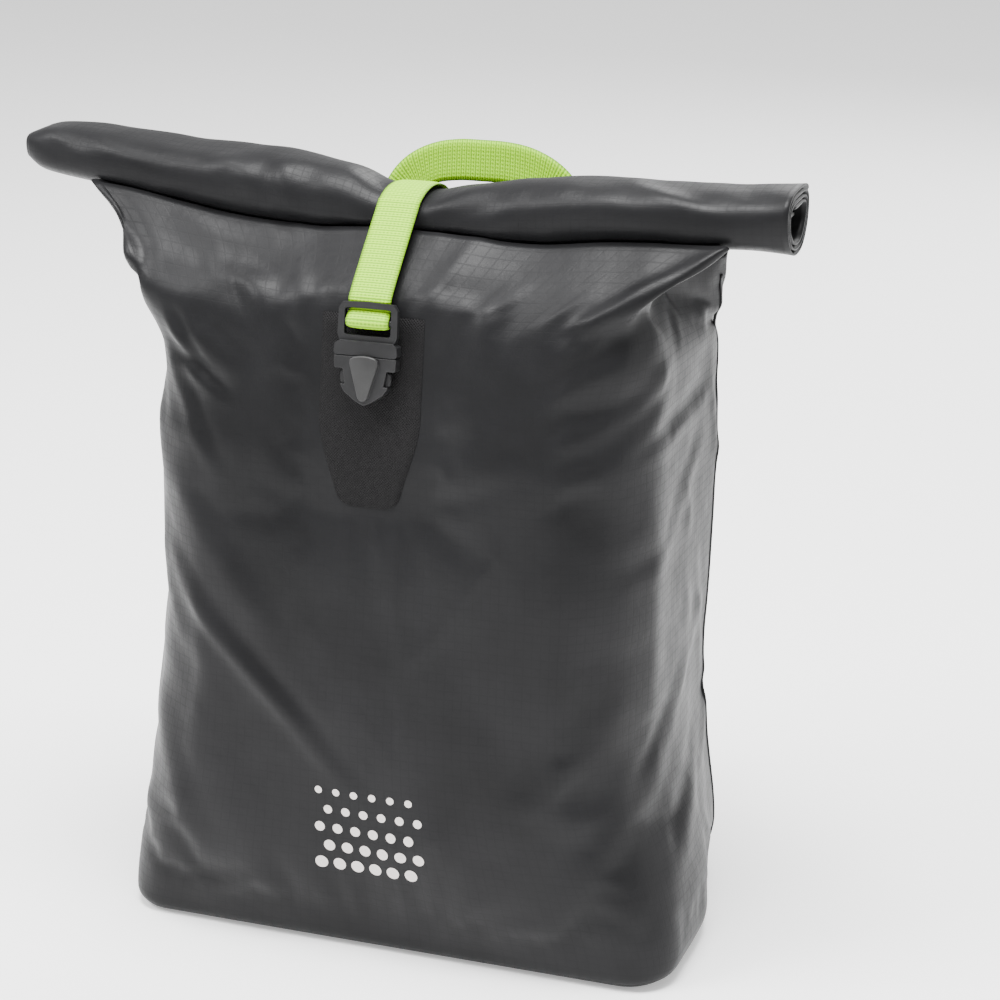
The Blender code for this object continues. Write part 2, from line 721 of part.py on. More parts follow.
def build_hook(word, side):
    """Rack hook that slides on the top rail, with its latch, pin, liner and clamp screw."""
    frame = rail_frame(RAIL_HEIGHT) @ Matrix.Translation((side * HOOK_X, 0, 0))
    arch = [(16, -14), (16, 34), (34.5, 34), (34.5, 9), (40, 9), (40, 37), (38.5, 40), (35, 41.5)]
    arch += [(15, 41.5), (12, 40), (10.9, 37), (10.9, 14)]
    body_outline = millimetres(SLOT[:1] + arch + SLOT[4:])
    body = plate("hook_body_" + word, body_outline, HOOK_WIDTH, frame @ DRAWN_YZ, PLASTIC)
    ear_outline = millimetres([(14, -6), (20, -6), (24, -2), (24, 5), (20, 8), (14, 8)])
    ears = [
        plate(
            f"hook_ear_{word}_{i}",
            ear_outline,
            3 * MM,
            frame @ Matrix.Translation((x, 0, 0)) @ DRAWN_YZ,
            None,
        )
        for i, x in enumerate((-10.5 * MM, 10.5 * MM))
    ]
    pin_low, pin_high = (-13.5 * MM, 20 * MM, 1 * MM), (13.5 * MM, 20 * MM, 1 * MM)
    pin_hole = rod("pin_hole_" + word, (-20 * MM, *pin_low[1:]), (20 * MM, *pin_high[1:]),
                   PIN_RADIUS + GAP, None, frame, 16)
    screw_hole = rod("clamp_hole_" + word, (0, 8 * MM, -9 * MM), (0, 20 * MM, -9 * MM), 2.9 * MM,
                     None, frame, 16)
    combine(body, ears, "UNION")
    combine(body, [pin_hole, screw_hole], "DIFFERENCE")
    rod("latch_pin_" + word, pin_low, pin_high, PIN_RADIUS, STEEL, frame, 16)
    shank = rod("clamp_screw_" + word, (0, 11.1 * MM, -9 * MM), (0, 17 * MM, -9 * MM), 2.5 * MM,
                STEEL, frame, 16)
    head = rod("clamp_head_" + word, (0, 16.3 * MM, -9 * MM), (0, 18.8 * MM, -9 * MM), 4 * MM,
               None, frame, 20)
    combine(shank, [head], "UNION")
    liner = millimetres([(16.3, 11), (18.6, 11), (18.6, 31), (31.9, 31), (31.9, 11), (34.2, 11)])
    liner += millimetres([(34.2, 33.7), (16.3, 33.7)])
    plate("hook_insert_" + word, liner, HOOK_WIDTH - 2 * MM, frame @ DRAWN_YZ, INSERT)
    build_latch(word, frame, pin_hole)


def build_latch(word, frame, pin_hole):
    """Sprung gate below the hook's throat, turning on its pin."""
    boss = [
        (20 + 3.6 * math.cos(math.radians(a)), 1 + 3.6 * math.sin(math.radians(a)))
        for a in range(90, 271, 30)
    ]
    gate = millimetres(boss + [(33, -1.2), (39.5, 2.2), (39.5, 7.4), (36, 7.4), (33, 4.6)])
    spot = frame @ Vector((0, 20 * MM, 1 * MM))
    latch = plate(
        "hook_latch_" + word, gate, 17 * MM, frame @ DRAWN_YZ, PLASTIC, (), tuple(spot)
    )
    combine(latch, [pin_hole], "DIFFERENCE")


def build_anchor():
    """Lower anchor: a slider on the lower rail, a hook that swivels on it, and its knob."""
    frame = rail_frame(LOWER_RAIL_HEIGHT)
    slider = plate("anchor_slider", millimetres(SLOT), 30 * MM, frame @ DRAWN_YZ, PLASTIC)
    bore = rod("anchor_bore", (0, 8 * MM, 0), (0, 24 * MM, 0), 3.4 * MM, None, frame, 24)
    combine(slider, [bore], "DIFFERENCE")
    claw = millimetres(
        [(16.4, 5), (16.4, -43), (19.5, -46), (34, -46), (37, -43), (37, -24), (33.3, -24)]
    )
    claw += millimetres([(33.3, -42), (20.6, -42), (20.6, 5)])
    pivot = tuple(frame @ Vector((0, 16 * MM, 0)))
    hook = plate("anchor_hook", claw, 16 * MM, frame @ DRAWN_YZ, PLASTIC, (), pivot)
    disc = rod("anchor_disc", (0, 16.4 * MM, 0), (0, 20.6 * MM, 0), 13 * MM, None, frame, 32)
    combine(hook, [disc], "UNION")
    combine(hook, [bore], "DIFFERENCE")
    lobes, steps = 6, 48
    grip = []
    for i in range(steps):
        angle = 2 * math.pi * i / steps
        radius = (9.6 + 0.9 * math.cos(lobes * angle)) * MM
        grip.append((radius * math.cos(angle), radius * math.sin(angle)))
    lift = Matrix.Translation((0, 25 * MM, 0))
    knob = plate("anchor_knob", grip, 8 * MM, frame @ lift @ DRAWN_XZ, PLASTIC, (), pivot)
    stud = rod("anchor_stud", (0, 11.2 * MM, 0), (0, 23 * MM, 0), 3 * MM, None, frame, 20)
    combine(knob, [stud], "UNION")


def build_rack_side():
    drills = build_top_rail() + build_lower_rail()
    for name in ("back_panel", "stiffener_board"):
        combine(bpy.data.objects[name], drills, "DIFFERENCE")
    for word, side in SIDES:
        build_hook(word, side)
    build_anchor()


def shade(collection):
    for obj in collection.objects:
        obj.data.shade_smooth()
        obj.data.set_sharp_from_angle(angle=math.radians(35))


build_body()
build_roll()
build_front_patch()
build_strap_patch()
build_closure_strap()
build_buckle()
build_d_rings()
build_handle()
build_rack_side()
shade(PARTS)
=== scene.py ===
"""How the roll-top pannier bag looks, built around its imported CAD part. Metres, Z up, -Y is the outer face."""

import bisect
import math

import bmesh
import bpy
import numpy as np
from mathutils import Matrix, Vector, noise
from mathutils.bvhtree import BVHTree


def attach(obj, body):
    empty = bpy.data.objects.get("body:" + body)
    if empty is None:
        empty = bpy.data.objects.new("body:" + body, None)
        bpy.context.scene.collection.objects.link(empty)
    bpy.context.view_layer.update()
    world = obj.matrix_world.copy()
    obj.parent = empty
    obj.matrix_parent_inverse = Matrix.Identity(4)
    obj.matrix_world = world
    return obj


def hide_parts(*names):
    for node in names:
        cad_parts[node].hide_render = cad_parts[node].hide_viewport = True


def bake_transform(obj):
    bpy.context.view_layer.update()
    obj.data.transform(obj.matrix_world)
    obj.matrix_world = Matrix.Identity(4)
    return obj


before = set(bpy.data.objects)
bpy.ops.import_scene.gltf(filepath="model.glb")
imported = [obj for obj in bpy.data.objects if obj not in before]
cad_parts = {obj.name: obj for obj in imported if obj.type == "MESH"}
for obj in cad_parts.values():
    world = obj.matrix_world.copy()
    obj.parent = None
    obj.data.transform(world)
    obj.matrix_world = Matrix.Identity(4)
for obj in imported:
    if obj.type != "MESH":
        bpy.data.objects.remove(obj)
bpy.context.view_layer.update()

MM = 0.001
SIDES = (("left", -1), ("right", 1))

# The same sizes as in the CAD source
FRONT_FOOT = (-93 * MM, 300 * MM)
FRONT_SHOULDER = (-79 * MM, 392 * MM)
BACK_FOOT = (93 * MM, 340 * MM)
BACK_HEAD = (6.2 * MM, 441.5 * MM)
FRONT_LEAN = math.atan2(FRONT_SHOULDER[0] - FRONT_FOOT[0], FRONT_SHOULDER[1] - FRONT_FOOT[1])
BACK_LEAN = math.atan2(BACK_HEAD[0] - BACK_FOOT[0], BACK_HEAD[1] - BACK_FOOT[1])
FRONT_SLOPE = Matrix.Translation((0, *FRONT_FOOT)) @ Matrix.Rotation(-FRONT_LEAN, 4, "X")
BACK_SLOPE = Matrix.Translation((0, *BACK_FOOT)) @ Matrix.Rotation(-BACK_LEAN, 4, "X")
BUCKLE_FRAME = FRONT_SLOPE @ Matrix.Translation((0, 0, 35 * MM))
BACK_FACE = 93 * MM
WEB_WIDTH = 25 * MM
WEB_THICKNESS = 1.8 * MM
LADDER_BAR = (46 * MM, 6.8 * MM)
D_RING_X = 96 * MM
D_RING_BAR = (47 * MM, 6 * MM)
D_RING_WIRE = 2.7 * MM
HANDLE_FOOT_X = 64.5 * MM


# Curves and numbers


def smooth(t):
    t = np.clip(t, 0.0, 1.0)
    return t * t * (3 - 2 * t)


def mix(a, b, t):
    return a + (b - a) * t


def profile(*knots):
    """A smooth curve through (position, value) knots given in millimetres."""
    xs = [k[0] * MM for k in knots]
    ys = [k[1] * MM for k in knots]
    last = len(xs) - 1
    slopes = []
    for i in range(last + 1):
        a, b = max(i - 1, 0), min(i + 1, last)
        slopes.append((ys[b] - ys[a]) / (xs[b] - xs[a]))

    def at(x):
        if x <= xs[0]:
            return ys[0]
        if x >= xs[-1]:
            return ys[-1]
        i = bisect.bisect_right(xs, x) - 1
        h = xs[i + 1] - xs[i]
        t = (x - xs[i]) / h
        return (
            ys[i] * (1 + 2 * t) * (1 - t) ** 2
            + slopes[i] * h * t * (1 - t) ** 2
            + ys[i + 1] * t * t * (3 - 2 * t)
            + slopes[i + 1] * h * t * t * (t - 1)
        )

    return at


# Shape of the filled bag: heights and half-widths
WIDTH_LEFT = profile(
    (0, 151), (10, 153), (40, 152), (100, 148.5), (215, 144), (300, 142), (350, 139), (378, 146),
    (406, 154), (430, 160)
)
WIDTH_RIGHT = profile(
    (0, 153), (10, 156), (40, 156), (100, 151), (150, 149), (215, 152), (300, 152), (345, 152),
    (385, 155), (430, 158)
)
SKIRT_LEFT = profile((0, 9), (10, 13), (40, 11), (100, 5), (200, 0))
SKIRT_RIGHT = profile((0, 16), (10, 22), (40, 18), (100, 7), (200, 0))
EAR_LEFT = profile((350, 0), (380, 3), (406, 8), (415, 14), (422, 22), (430, 35))
EAR_RIGHT = profile((345, 0), (370, 3), (390, 7), (409, 17), (420, 26), (430, 36))
BACK_EAR = profile((345, 0), (362, 3), (378, 8), (392, 11), (408, 13), (430, 14))
FRONT_Y = profile(
    (0, -93), (300, -93), (320, -90), (345, -86.2), (370, -82.4), (392, -78.5), (405, -69), (418, -55),
    (430, -42),
)
BELLY = profile((0, 0), (20, 3), (70, 8), (150, 7), (230, 4), (276, 0.5), (300, 0))
CORNER = profile(
    (0, 20), (15, 26), (60, 30), (120, 34), (300, 35), (350, 38), (380, 37), (398, 25), (412, 12),
    (430, 5),
)
LEFT_CORNER = profile(
    (0, 20), (15, 26), (60, 30), (120, 34), (300, 34), (350, 26), (385, 15), (409, 8), (430, 5),
)
BACK_CORNER = profile((0, 20), (15, 26), (60, 28), (120, 28), (300, 24), (345, 15), (385, 8), (430, 5))

# Shape of the roll, from its left end to its right end
ROLL_LEFT, ROLL_RIGHT = -237 * MM, 220 * MM
ROLL_TOP = profile(
    (-237, 461), (-229, 464), (-207, 465), (-175, 463), (-142, 460), (-85, 458.5), (-40, 453),
    (-12, 443.5), (12, 442), (43, 447.5), (78, 452), (113, 455), (181, 455), (220, 458),
)
ROLL_LOW = profile(
    (-237, 440), (-229, 435), (-197, 431), (-165, 428), (-101, 418), (-51, 414.5), (-12, 416), (12, 416),
    (51, 414), (86, 414), (132, 419), (201, 420), (220, 419),
)
ROLL_DEPTH = profile(
    (-237, 20), (-226, 25), (-140, 29), (-60, 29), (-12, 26), (12, 26), (60, 28), (140, 29), (220, 27),
)
ROLL_Y = profile((-237, -12), (-140, -17), (0, -18), (140, -17), (220, -14))
ROLL_TURNS = 3.25
BACK_TOUCH = 0.56


def section(level):
    """Sizes of the bag where its wall is that far up."""
    return {
        "left": WIDTH_LEFT(level),
        "right": WIDTH_RIGHT(level),
        "ear_left": EAR_LEFT(level),
        "ear_right": EAR_RIGHT(level),
        "back_ear": BACK_EAR(level),
        "skirt_left": SKIRT_LEFT(level),
        "skirt_right": SKIRT_RIGHT(level),
        "front": FRONT_Y(level),
        "belly": BELLY(level),
        "corner": CORNER(level),
        "left_corner": LEFT_CORNER(level),
        "back_corner": BACK_CORNER(level),
    }


FRONT_CELLS, SIDE_CELLS, CORNER_CELLS = 64, 28, 8
WALL_TOP = 430 * MM
BACK_JOIN = 404 * MM


def outline(level):
    """Points round the bag at one level, anticlockwise from the middle of the back right corner."""
    sizes = section(level)
    left, right = sizes["left"], sizes["right"]
    front, back = sizes["front"], BACK_FACE
    lean_back = max(0.0, level - BACK_FOOT[1]) / (WALL_TOP - BACK_FOOT[1])
    back_z = BACK_FOOT[1] + lean_back * (BACK_JOIN - BACK_FOOT[1]) if lean_back else level
    if lean_back:
        back = BACK_FACE + (back_z - BACK_FOOT[1]) * math.tan(BACK_LEAN)
        back -= 2 * MM * math.sin(math.pi * min(1.0, lean_back))  # the slope sags a little
    inset = 0.0
    base = 8 * MM
    if level < base:
        inset = base - math.sqrt(base**2 - (base - level) ** 2)
    front, back = front + inset, back - inset
    radius, left_radius, back_radius = (
        max(4 * MM, sizes[key] - inset) for key in ("corner", "left_corner", "back_corner")
    )
    left, right = left - inset, right - inset
    points = []

    def corner(cx, cy, r, start, first, last):
        for i in range(first, last):
            a = math.radians(start + 90 * i / CORNER_CELLS)
            points.append((cx + r * math.cos(a), cy + r * math.sin(a)))

    half = CORNER_CELLS // 2
    behind, ahead, left_ahead = back - back_radius, front + radius, front + left_radius
    corner(right - back_radius, behind, back_radius, 0, half, CORNER_CELLS)
    for i in range(FRONT_CELLS):
        points.append((mix(right - back_radius, back_radius - left, i / FRONT_CELLS), back))
    corner(back_radius - left, behind, back_radius, 90, 0, CORNER_CELLS)
    for i in range(SIDE_CELLS):
        points.append((-left, mix(behind, left_ahead, i / SIDE_CELLS)))
    corner(left_radius - left, left_ahead, left_radius, 180, 0, CORNER_CELLS)
    for i in range(FRONT_CELLS):
        points.append((mix(left_radius - left, right - radius, i / FRONT_CELLS), front))
    corner(right - radius, ahead, radius, 270, 0, CORNER_CELLS)
    for i in range(SIDE_CELLS):
        points.append((right, mix(ahead, behind, i / SIDE_CELLS)))
    corner(right - back_radius, behind, back_radius, 0, 0, half)

    placed = []
    for x, y in points:
        f = (y - front) / (back - front)
        width = right if x > 0 else left
        f = min(1.0, max(0.0, f))
        wide = width + sizes["ear_right" if x > 0 else "ear_left"] * (1 - f) ** 5 + sizes["back_ear"] * f**5
        wide += sizes["skirt_right" if x > 0 else "skirt_left"] * (1 - smooth((f - 0.4) / 0.6))
        gusset = 15 * MM * smooth((level - 350 * MM) / (60 * MM)) * max(0.0, math.sin(math.pi * f)) ** 0.7
        px = x * (wide - gusset) / width
        side = abs(x) / width
        py = y - sizes["belly"] * (1 - side**2.4) * (1 - smooth(f * 3))
        front_z = level
        if level > 340 * MM:
            reach = ROLL_LOW(px) + 7 * MM
            front_z = 340 * MM + (level - 340 * MM) * (reach - 340 * MM) / (WALL_TOP - 340 * MM)
        pz = mix(front_z, back_z, smooth((f - 0.25) / 0.7))
        placed.append((px, py, pz))
    return placed


LEVELS = [8 * MM * (1 - math.cos(math.pi / 2 * i / 5)) for i in range(1, 6)]
LEVELS += [mix(8, 430, i / 84) * MM for i in range(1, 85)]


def wall_grid():
    return np.array([outline(level) for level in LEVELS])


def grid_normals(grid):
    around = np.roll(grid, -1, axis=1) - np.roll(grid, 1, axis=1)
    upward = np.gradient(grid, axis=0)
    n = np.cross(around, upward)
    return n / np.maximum(np.linalg.norm(n, axis=2, keepdims=True), 1e-12)


# Folds: two ends (X, Y, Z), reach to each side, height, and how much the lower side sinks
FRONT, SIDE = -96, 157
FOLDS = [
    ((114, -86, 384), (186, -46, 424), 5, 3.6, 0),
    ((134, -80, 376), (176, -52, 406), 9, -5.0, 0),
    ((-196, -26, 430), (-150, -72, 404), 5, 3.4, 0.9),
    ((-150, -74, 404), (-153, -70, 388), 4, 3.0, 1.0),
    ((-126, -92, 232), (-18, -100, 118), 6, 2.2, 0.4),
    ((-116, -94, 212), (-40, -100, 146), 5, 1.7, 0.4),
    ((-140, -84, 300), (-60, -98, 200), 9, 1.6, 0.3),
    ((-124, -84, 372), (-106, -88, 345), 4, 3.0, 0.8),
    ((-118, -86, 346), (-88, -92, 332), 4, 3.2, 0.9),
    ((-130, -82, 350), (-94, -92, 292), 5, 2.4, 0.6),
    ((-114, -84, 368), (-78, -88, 346), 8, 2.2, 0.3),
    ((-148, -60, 330), (-120, -88, 250), 7, 2.0, 0.4),
    ((-140, -80, 420), (-60, -78, 398), 9, 2.4, 0.6),
    ((-96, -72, 415), (-62, -82, 385), 8, 2.2, 0.4),
    ((-50, -70, 412), (-40, -86, 372), 7, 1.6, 0.3),
    ((22, -78, 400), (62, -80, 394), 6, 2.4, 0.7),
    ((58, -80, 396), (70, -86, 372), 7, 1.5, 0.3),
    ((80, -70, 414), (64, -82, 384), 8, 1.6, 0.3),
    ((104, -92, 346), (150, -78, 372), 6, 1.8, 0.5),
    ((112, -94, 322), (157, -40, 354), 7, 2.0, 0.5),
    ((120, -94, 300), (156, -60, 326), 6, 1.4, 0.4),
    ((157, -55, 312), (157, 40, 320), 6, 3.0, 0.8),
    ((157, -10, 366), (162, 6, 410), 6, 3.0, 0.5),
    ((158, -30, 260), (156, 30, 292), 7, 2.0, 0.5),
    ((158, -64, 240), (158, -10, 262), 6, 1.4, 0.4),
    ((160, -40, 130), (158, 40, 190), 9, 2.2, 0.4),
    ((162, -50, 60), (160, 30, 110), 9, 2.0, 0.4),
    ((158, 30, 220), (156, 56, 150), 7, 2.2, 0.4),
    ((-150, -30, 300), (-152, 40, 340), 7, 2.6, 0.7),
    ((-148, -50, 210), (-146, 30, 250), 8, 2.2, 0.4),
    ((-156, -40, 60), (-152, 30, 120), 9, 2.2, 0.4),
    ((-146, 20, 180), (-146, 58, 110), 7, 2.0, 0.4),
    ((-152, -84, 150), (-110, -98, 60), 10, 1.8, 0.2),
    ((150, -84, 170), (80, -99, 90), 12, 1.5, 0.2),
    ((154, -80, 110), (110, -98, 40), 10, 1.8, 0.3),
    ((-120, -98, 20), (-60, -99, 40), 8, 1.3, 0.2),
    ((40, -99, 20), (110, -97, 34), 8, 1.3, 0.2),
    ((140, 70, 368), (60, 66, 372), 9, -2.0, 0),
    ((-140, 70, 368), (-60, 66, 372), 9, -2.0, 0),
    ((170, 50, 400), (120, 78, 360), 7, 2.4, 0.5),
    ((-170, 50, 400), (-120, 78, 360), 7, 2.4, 0.5),
]


def fold_height(points, normals):
    """How far the folds lift each point along its normal."""
    total = np.zeros(points.shape[:2])
    for start, end, reach, height, sink in FOLDS:
        a, b = np.array(start) * MM, np.array(end) * MM
        along = b - a
        length = np.linalg.norm(along)
        t = np.clip(((points - a) @ along) / length**2, -0.25, 1.25)
        away = points - (a + t[..., None] * along)
        distance = np.linalg.norm(away, axis=2) / (reach * MM)
        taper = smooth((t + 0.25) * 2.2) * smooth((1.25 - t) * 2.2)
        across = np.cross(normals, along / length)
        lead = along[0] if abs(along[0]) > 5 * MM else along[1]
        below = np.sign(np.sum(away * across, axis=2)) * np.sign(lead)
        ridge = np.exp(-(distance**2))
        dip = np.exp(-((distance - 1.5) ** 2) * 1.2) * (below > 0) * sink
        facing = np.clip(1.4 - distance * 0.25, 0, 1)
        total += height * MM * taper * (ridge - dip) * facing
    return total


def ripple(points, scale, seed, stretch=(1, 1, 1)):
    """Smooth noise from -1 to 1 at each point."""
    flat = points.reshape(-1, 3)
    shift = Vector((seed * 3.1, seed * 1.7, seed * 5.3))
    values = [
        noise.noise(Vector((p[0] * stretch[0], p[1] * stretch[1], p[2] * stretch[2])) / scale + shift)
        for p in flat
    ]
    return np.array(values).reshape(points.shape[:-1])


def calm(points):
    """0 where the wall lies flat against the patch, the board or the floor, and 1 elsewhere."""
    x, y, z = points[..., 0], points[..., 1], points[..., 2]
    patch = (1 - smooth((np.abs(x) - 32 * MM) / (14 * MM))) * smooth((z - 262 * MM) / (14 * MM))
    patch *= (1 - smooth((z - 384 * MM) / (10 * MM))) * (y < 0)
    board = (1 - smooth((np.abs(x) - 104 * MM) / (20 * MM))) * (1 - smooth((z - 336 * MM) / (14 * MM)))
    board = board * (y > 60 * MM)
    return (1 - np.maximum(patch, board)) * smooth(z / (16 * MM))


def relief(points, normals):
    height = fold_height(points, normals)
    slant = points @ np.array(((0.8, 0.0, 0.6), (0.0, 1.0, 0.0), (-0.6, 0.0, 0.8))).T
    slant[..., 0] *= np.where(points[..., 0] > 20 * MM, 0.9, 1.0)
    height += 1.9 * MM * ripple(slant, 0.06, 1, (1, 1, 0.45))
    height += 0.5 * MM * ripple(slant, 0.022, 2, (1, 1, 0.4))
    turned = points @ np.array(((0.75, 0.0, -0.66), (0.0, 1.0, 0.0), (0.66, 0.0, 0.75))).T
    for place, seed, side in ((slant, 4, -1), (turned, 7, 1)):
        lines = (1 - np.abs(ripple(place, 0.075, seed, (1, 1, 0.3)))) ** 14
        where = smooth((ripple(points, 0.07, seed + 1) + 0.12) / 0.35)
        half = smooth((side * points[..., 0] + 40 * MM) / (80 * MM))
        height += 2.0 * MM * lines * where * half
    return height * calm(points)


# Meshes


def new_object(name, verts, faces, uvs=None):
    mesh = bpy.data.meshes.new(name)
    mesh.from_pydata([tuple(v) for v in verts], [], faces)
    if uvs is not None:
        layer = mesh.uv_layers.new(name="UVMap")
        for loop in mesh.loops:
            layer.data[loop.index].uv = uvs[loop.vertex_index]
    mesh.validate()
    obj = bpy.data.objects.new(name, mesh)
    bpy.context.scene.collection.objects.link(obj)
    mesh.shade_smooth()
    return obj


def apply_modifiers(obj):
    evaluated = obj.evaluated_get(bpy.context.evaluated_depsgraph_get())
    mesh = bpy.data.meshes.new_from_object(evaluated)
    old = obj.data
    obj.modifiers.clear()
    obj.data = mesh
    bpy.data.meshes.remove(old)
    return obj


def thicken(obj, thickness, offset=-1):
    wall = obj.modifiers.new("thickness", "SOLIDIFY")
    wall.thickness = thickness
    wall.offset = offset
    return apply_modifiers(obj)


def subdivide(obj, levels=1):
    finer = obj.modifiers.new("finer", "SUBSURF")
    finer.levels = finer.render_levels = levels
    return apply_modifiers(obj)


# Creases in the roll: X and angle round it at both ends, reach, height
ROLL_FOLDS = [
    (-70, 112, -68, 205, 5, 3.2), (-82, 130, -78, 190, 6, -3.4), (-57, 125, -55, 190, 6, -3.0),
    (-112, 120, -90, 168, 8, 2.6), (-104, 150, -92, 200, 6, -2.2), (-52, 205, -14, 196, 5, 2.4),
    (-50, 186, -16, 176, 5, -2.0),
    (-226, 118, -204, 162, 6, 2.8), (-218, 165, -190, 140, 7, -2.4), (-196, 128, -150, 170, 9, 1.6),
    (-236, 190, -150, 214, 7, 1.6),
    (-40, 96, -14, 140, 6, 2.0), (-30, 84, -12, 110, 4, -1.6), (14, 150, 52, 104, 6, 2.2),
    (16, 186, 58, 150, 6, -2.0),
    (12, 205, 60, 196, 5, 1.8), (126, 92, 170, 150, 6, 2.8), (140, 92, 184, 140, 7, -2.0),
    (60, 158, 160, 152, 7, 1.4),
    (92, 205, 150, 222, 7, -1.6), (190, 108, 214, 140, 6, -1.8), (-150, 92, -96, 112, 8, -1.6),
    (60, 92, 100, 116, 8, 1.4),
]


def roll_creases(x, angle):
    """How far the creases lift the outer layer of the roll."""
    total = 0.0
    spot = Vector((x, angle * 24 * MM))
    for x0, first, x1, last, reach, height in ROLL_FOLDS:
        a = Vector((x0 * MM, math.radians(first) * 24 * MM))
        along = Vector((x1 * MM, math.radians(last) * 24 * MM)) - a
        t = min(1.2, max(-0.2, (spot - a).dot(along) / along.length_squared))
        distance = (spot - a - along * t).length / (reach * MM)
        if distance < 3:
            fade = float(smooth((t + 0.2) * 2.5) * smooth((1.2 - t) * 2.5))
            total += height * MM * math.exp(-(distance**1.6)) * fade
    return total


def roll_point(x, turn):
    """A point of the rolled fabric: how far along the roll, and how many turns in."""
    top, low = ROLL_TOP(x), ROLL_LOW(x)
    semi_z, semi_y = (top - low) / 2, ROLL_DEPTH(x)
    end = min(x - ROLL_LEFT, ROLL_RIGHT - x)
    pitch = min(3 * MM, (semi_z - 2.5 * MM) / ROLL_TURNS)
    angle = BACK_TOUCH + 2 * math.pi * turn
    shrink = pitch * turn
    droop = 1.5 * MM * math.exp(-end / (8 * MM)) * math.sin(3 * angle)
    bunch = math.exp(-((x / (34 * MM)) ** 2))
    square = 1 - 0.2 * (1 - math.exp(-((x / (48 * MM)) ** 2))) - 0.15 * math.exp(-(x - ROLL_LEFT) / (18 * MM))
    back, up = (math.copysign(abs(v) ** square, v) for v in (math.cos(angle), math.sin(angle)))
    lumps = 1.2 * MM * noise.noise(Vector((x / 0.05, math.cos(angle) * 0.8, math.sin(angle) * 0.8 + turn)))
    lumps += bunch * 1.1 * MM * math.sin(x / (5.5 * MM) + 2.2 * math.sin(angle))
    lumps += 0.9 * MM * noise.noise(Vector((x / 0.018 + angle * 0.7, angle * 0.9, 3.7)))
    fade = math.exp(-turn * 0.9)
    reach = (lumps + roll_creases(x, angle)) * fade + droop
    return (
        x,
        ROLL_Y(x) + (semi_y - shrink + reach) * back,
        (top + low) / 2 + (semi_z - shrink + reach) * up,
    )


def build_shell():
    """The walls, base and rolled mouth, which are one tube of fabric."""
    grid = wall_grid()
    normals = grid_normals(grid)
    grid = grid + normals * relief(grid, normals)[..., None]
    rows, columns = grid.shape[:2]
    verts = [tuple(p) for p in grid.reshape(-1, 3)]
    girth = np.concatenate([[0], np.cumsum(np.linalg.norm(np.diff(grid[40], axis=0), axis=1))])
    uvs = [(girth[i], LEVELS[j]) for j in range(rows) for i in range(columns)]
    faces = []
    for j in range(rows - 1):
        for i in range(columns):
            n = (i + 1) % columns
            faces.append((j * columns + i, j * columns + n, (j + 1) * columns + n, (j + 1) * columns + i))
    # Base: rings that shrink to the middle
    centre = grid[0].mean(axis=0)
    rings = [list(range(columns))]
    for share in (0.9, 0.75, 0.55, 0.35, 0.15):
        start = len(verts)
        for i in range(columns):
            p = centre + (grid[0][i] - centre) * share
            verts.append((p[0], p[1], grid[0][i][2] * 0.3))
            uvs.append((p[0], p[1]))
        rings.append(list(range(start, start + columns)))
    for outer, inner in zip(rings, rings[1:]):
        for i in range(columns):
            n = (i + 1) % columns
            faces.append((outer[n], outer[i], inner[i], inner[n]))
    faces.append(tuple(reversed(rings[-1])))
    # Roll: the back panel's upper edge runs on over the top and spirals in
    stations = FRONT_CELLS + CORNER_CELLS
    first_row = [(rows - 1) * columns + i for i in range(stations + 1)]
    previous = first_row
    lead, steps = 9, int(26 * ROLL_TURNS)
    length = LEVELS[-1]
    for k in range(1, lead + steps + 1):
        row = []
        for i in range(stations + 1):
            base = Vector(verts[first_row[i]])
            x = mix(ROLL_RIGHT, ROLL_LEFT, i / stations)
            if k <= lead:
                t = k / lead
                goal = Vector(roll_point(x, 0))
                spread = t**1.5
                p = Vector((mix(base.x, goal.x, spread), mix(base.y, goal.y, t), mix(base.z, goal.z, t)))
                p += Vector((0, 0.6, 0.8)) * 1.5 * MM * math.sin(math.pi * t)
            else:
                p = Vector(roll_point(x, (k - lead) * ROLL_TURNS / steps))
            row.append(len(verts))
            verts.append(tuple(p))
            uvs.append((x, length + k * 6 * MM))
        for i in range(stations):
            faces.append((previous[i], previous[i + 1], row[i + 1], row[i]))
        previous = row
    return new_object("bag_shell", verts, faces, uvs)


# Materials


